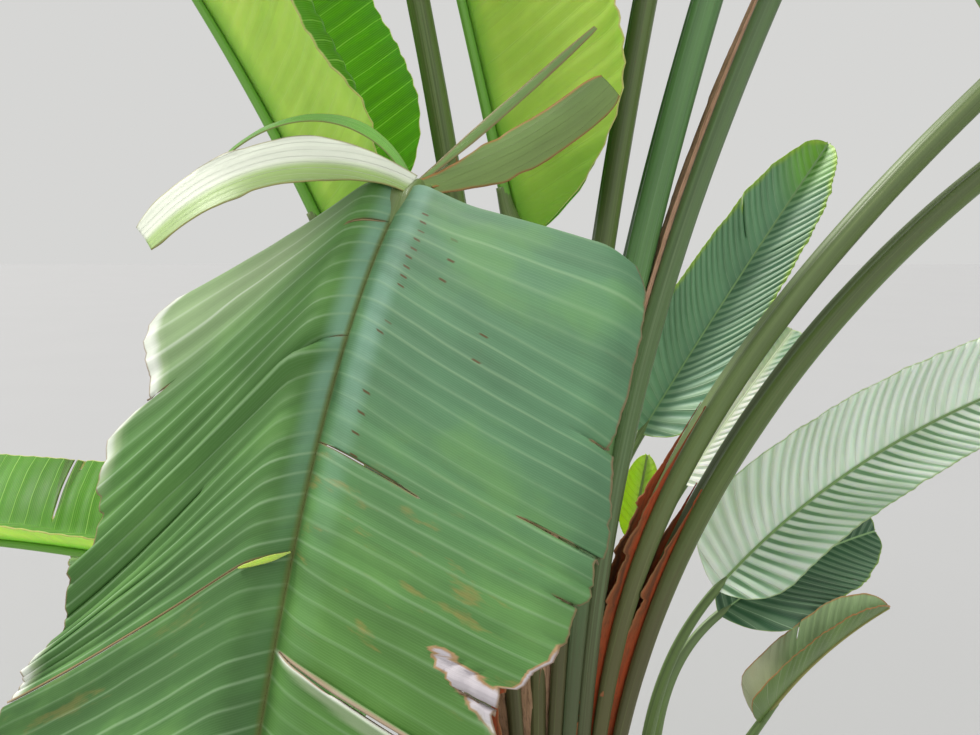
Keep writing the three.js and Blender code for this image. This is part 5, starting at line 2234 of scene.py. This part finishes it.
SUCKERS = [
    sucker(
        "right_1", -2.5, leans=(2, 30, 33), base=(0.2, 0.3, 1.06), heading=0, length=0.64, half_width=0.112,
        left_share=1.08, fold=24, roll=62, blade=DARK_GREEN, seed=31, spread=0.75, taper=0.38,
        tip_round=0.3, nicks=1),
    sucker(
        "right_2", -0.5, leans=(6, 33, 36), base=(0.262, 0.188, 0.99), heading=4, length=0.34,
        half_width=0.08, fold=18, roll=34, base_round=0.05, right_share=0.66, left_share=1.12,
        blade=WHITE_GREEN, seed=32, spread=0.5, nicks=0),
    sucker(
        "right_3", 0.5, leans=(8, 38, 81), base=(0.331, 0.2, 0.786), heading=-4, length=0.96,
        half_width=0.15, right_share=0.84, fold=16, right_bend=(14, -4, 0), roll=69, blade=PALE_GREEN,
        pleat=0.0026, seed=33, left_share=0.66, taper=0.3, tip_round=0.35, base_round=0.1, nicks=0),
    sucker(
        "right_4", 1.5, leans=(12, 54, 78), base=(0.352, 0.262, 0.712), heading=12, length=0.36,
        half_width=0.118, fold=22, roll=66, blade=LOW_GREEN, seed=34, taper=0.3, tip_round=0.4,
        base_round=0.3, nicks=1),
    sucker(
        "right_5", 2.5, leans=(24, 30, 54), base=(0.424, 0.2, 0.522), heading=-10, length=0.33,
        half_width=0.08, fold=26, roll=44, left_bend=(82, 101, 0), blade=OLIVE_GREEN, pleat=0.0008, seed=35,
        taper=0.25, tip_round=0.35, nicks=1),
    sucker(
        "right_6", -1.5, leans=(2, 6, 10), base=(0.164, 0.13, 0.9), heading=0, length=0.16,
        half_width=0.036, fold=20, roll=70, blade=LIGHT_GREEN, pleat=0.0005, nicks=0, seed=36, spread=0.5,
        tip_round=0.5, base_round=0.4),
    sucker(
        "left_1", 1.0, leans=(3, 22, 44), base=(-0.255, 0.27, 0.92), heading=170, length=0.56,
        half_width=0.11, fold=30, roll=-30, blade=LOW_GREEN, seed=37, taper=0.3, tip_round=0.35),
    sucker(
        "left_2", 0.0, leans=(10, 56, 92), base=(-0.43, 0.29, 0.662), heading=176, length=0.52,
        half_width=0.105, fold=26, roll=-40, blade=SUCKER_GREEN, seed=38, taper=0.3, tip_round=0.35),
    sucker(
        "left_3", -1.0, leans=(16, 56, 96), base=(-0.36, 0.34, 0.44), heading=140, length=0.52,
        half_width=0.105, fold=30, roll=0, blade=SUCKER_GREEN, seed=39, taper=0.3, tip_round=0.35)]


@dataclass(frozen=True)
class Light:
    """A far light: where it stands, how broad it looks and how strong it is."""

    name: str
    lean: float
    heading: float
    spread: float
    strength: float

    def build(self) -> None:
        """Makes the light."""
        lamp = bpy.data.lights.new(self.name, "SUN")
        lamp.angle = math.radians(self.spread)
        lamp.energy = self.strength
        lamp.color = (1.0, 0.97, 0.92)
        turn = (0.0, math.radians(self.lean), math.radians(self.heading))
        new_object(self.name, lamp).rotation_euler = turn


@dataclass(frozen=True)
class Studio:
    """The plain pale floor, the soft lights and the camera."""

    camera_at: Point = (-0.09, -1.55, 1.45)
    camera_down: float = 8.0
    lens: float = 36.0
    floor_half: float = 40.0
    lights: tuple[Light, ...] = (
        Light("key", 38.0, 152.0, 14.0, 3.0), Light("fill", 48.0, 285.0, 90.0, 0.8))
    backdrop: Colour = (0.84, 0.84, 0.825, 1.0)

    def build(self) -> None:
        """Makes the floor, the world, the lights and the camera."""
        mesh = bpy.data.meshes.new("floor")
        far = self.floor_half
        corners = [(-far, -far, 0.0), (far, -far, 0.0), (far, far, 0.0), (-far, far, 0.0)]
        mesh.from_pydata(corners, [], [(0, 1, 2, 3)])
        floor = new_object("floor", mesh)
        g = Dressing("Pale floor")
        cloud = g.noise(g.place(), 0.8)
        colour = g.blend(cloud, srgb("a6a7a9"), srgb("a9aaac"))
        mesh.materials.append(g.shade(colour, 0.8, cloud, 0.0005, {}))
        world = bpy.data.worlds.new("Soft room")
        world.use_nodes = True
        room = world.node_tree.nodes["Background"]
        room.inputs["Color"].default_value = self.backdrop
        room.inputs["Strength"].default_value = 0.8
        bpy.context.scene.world = world
        for light in self.lights:
            light.build()
        camera = bpy.data.cameras.new("camera")
        camera.lens = self.lens
        camera.sensor_width = 36.0
        view = new_object("camera", camera)
        view.location = self.camera_at
        view.rotation_euler = (math.radians(90.0 - self.camera_down), 0.0, 0.0)
        bpy.context.scene.camera = view
        bpy.context.scene.view_settings.view_transform = "Standard"


def main() -> None:
    """Builds the plant and its studio."""
    logging.basicConfig(level=logging.INFO, format="%(name)s %(message)s")
    log.info("%d packed solids to dress", len(frame["nodes"]))
    Studio().build()
    Stem().build()
    for leaf in [*FAN, *SUCKERS]:
        leaf.build()


if __name__ == "__main__":
    main()
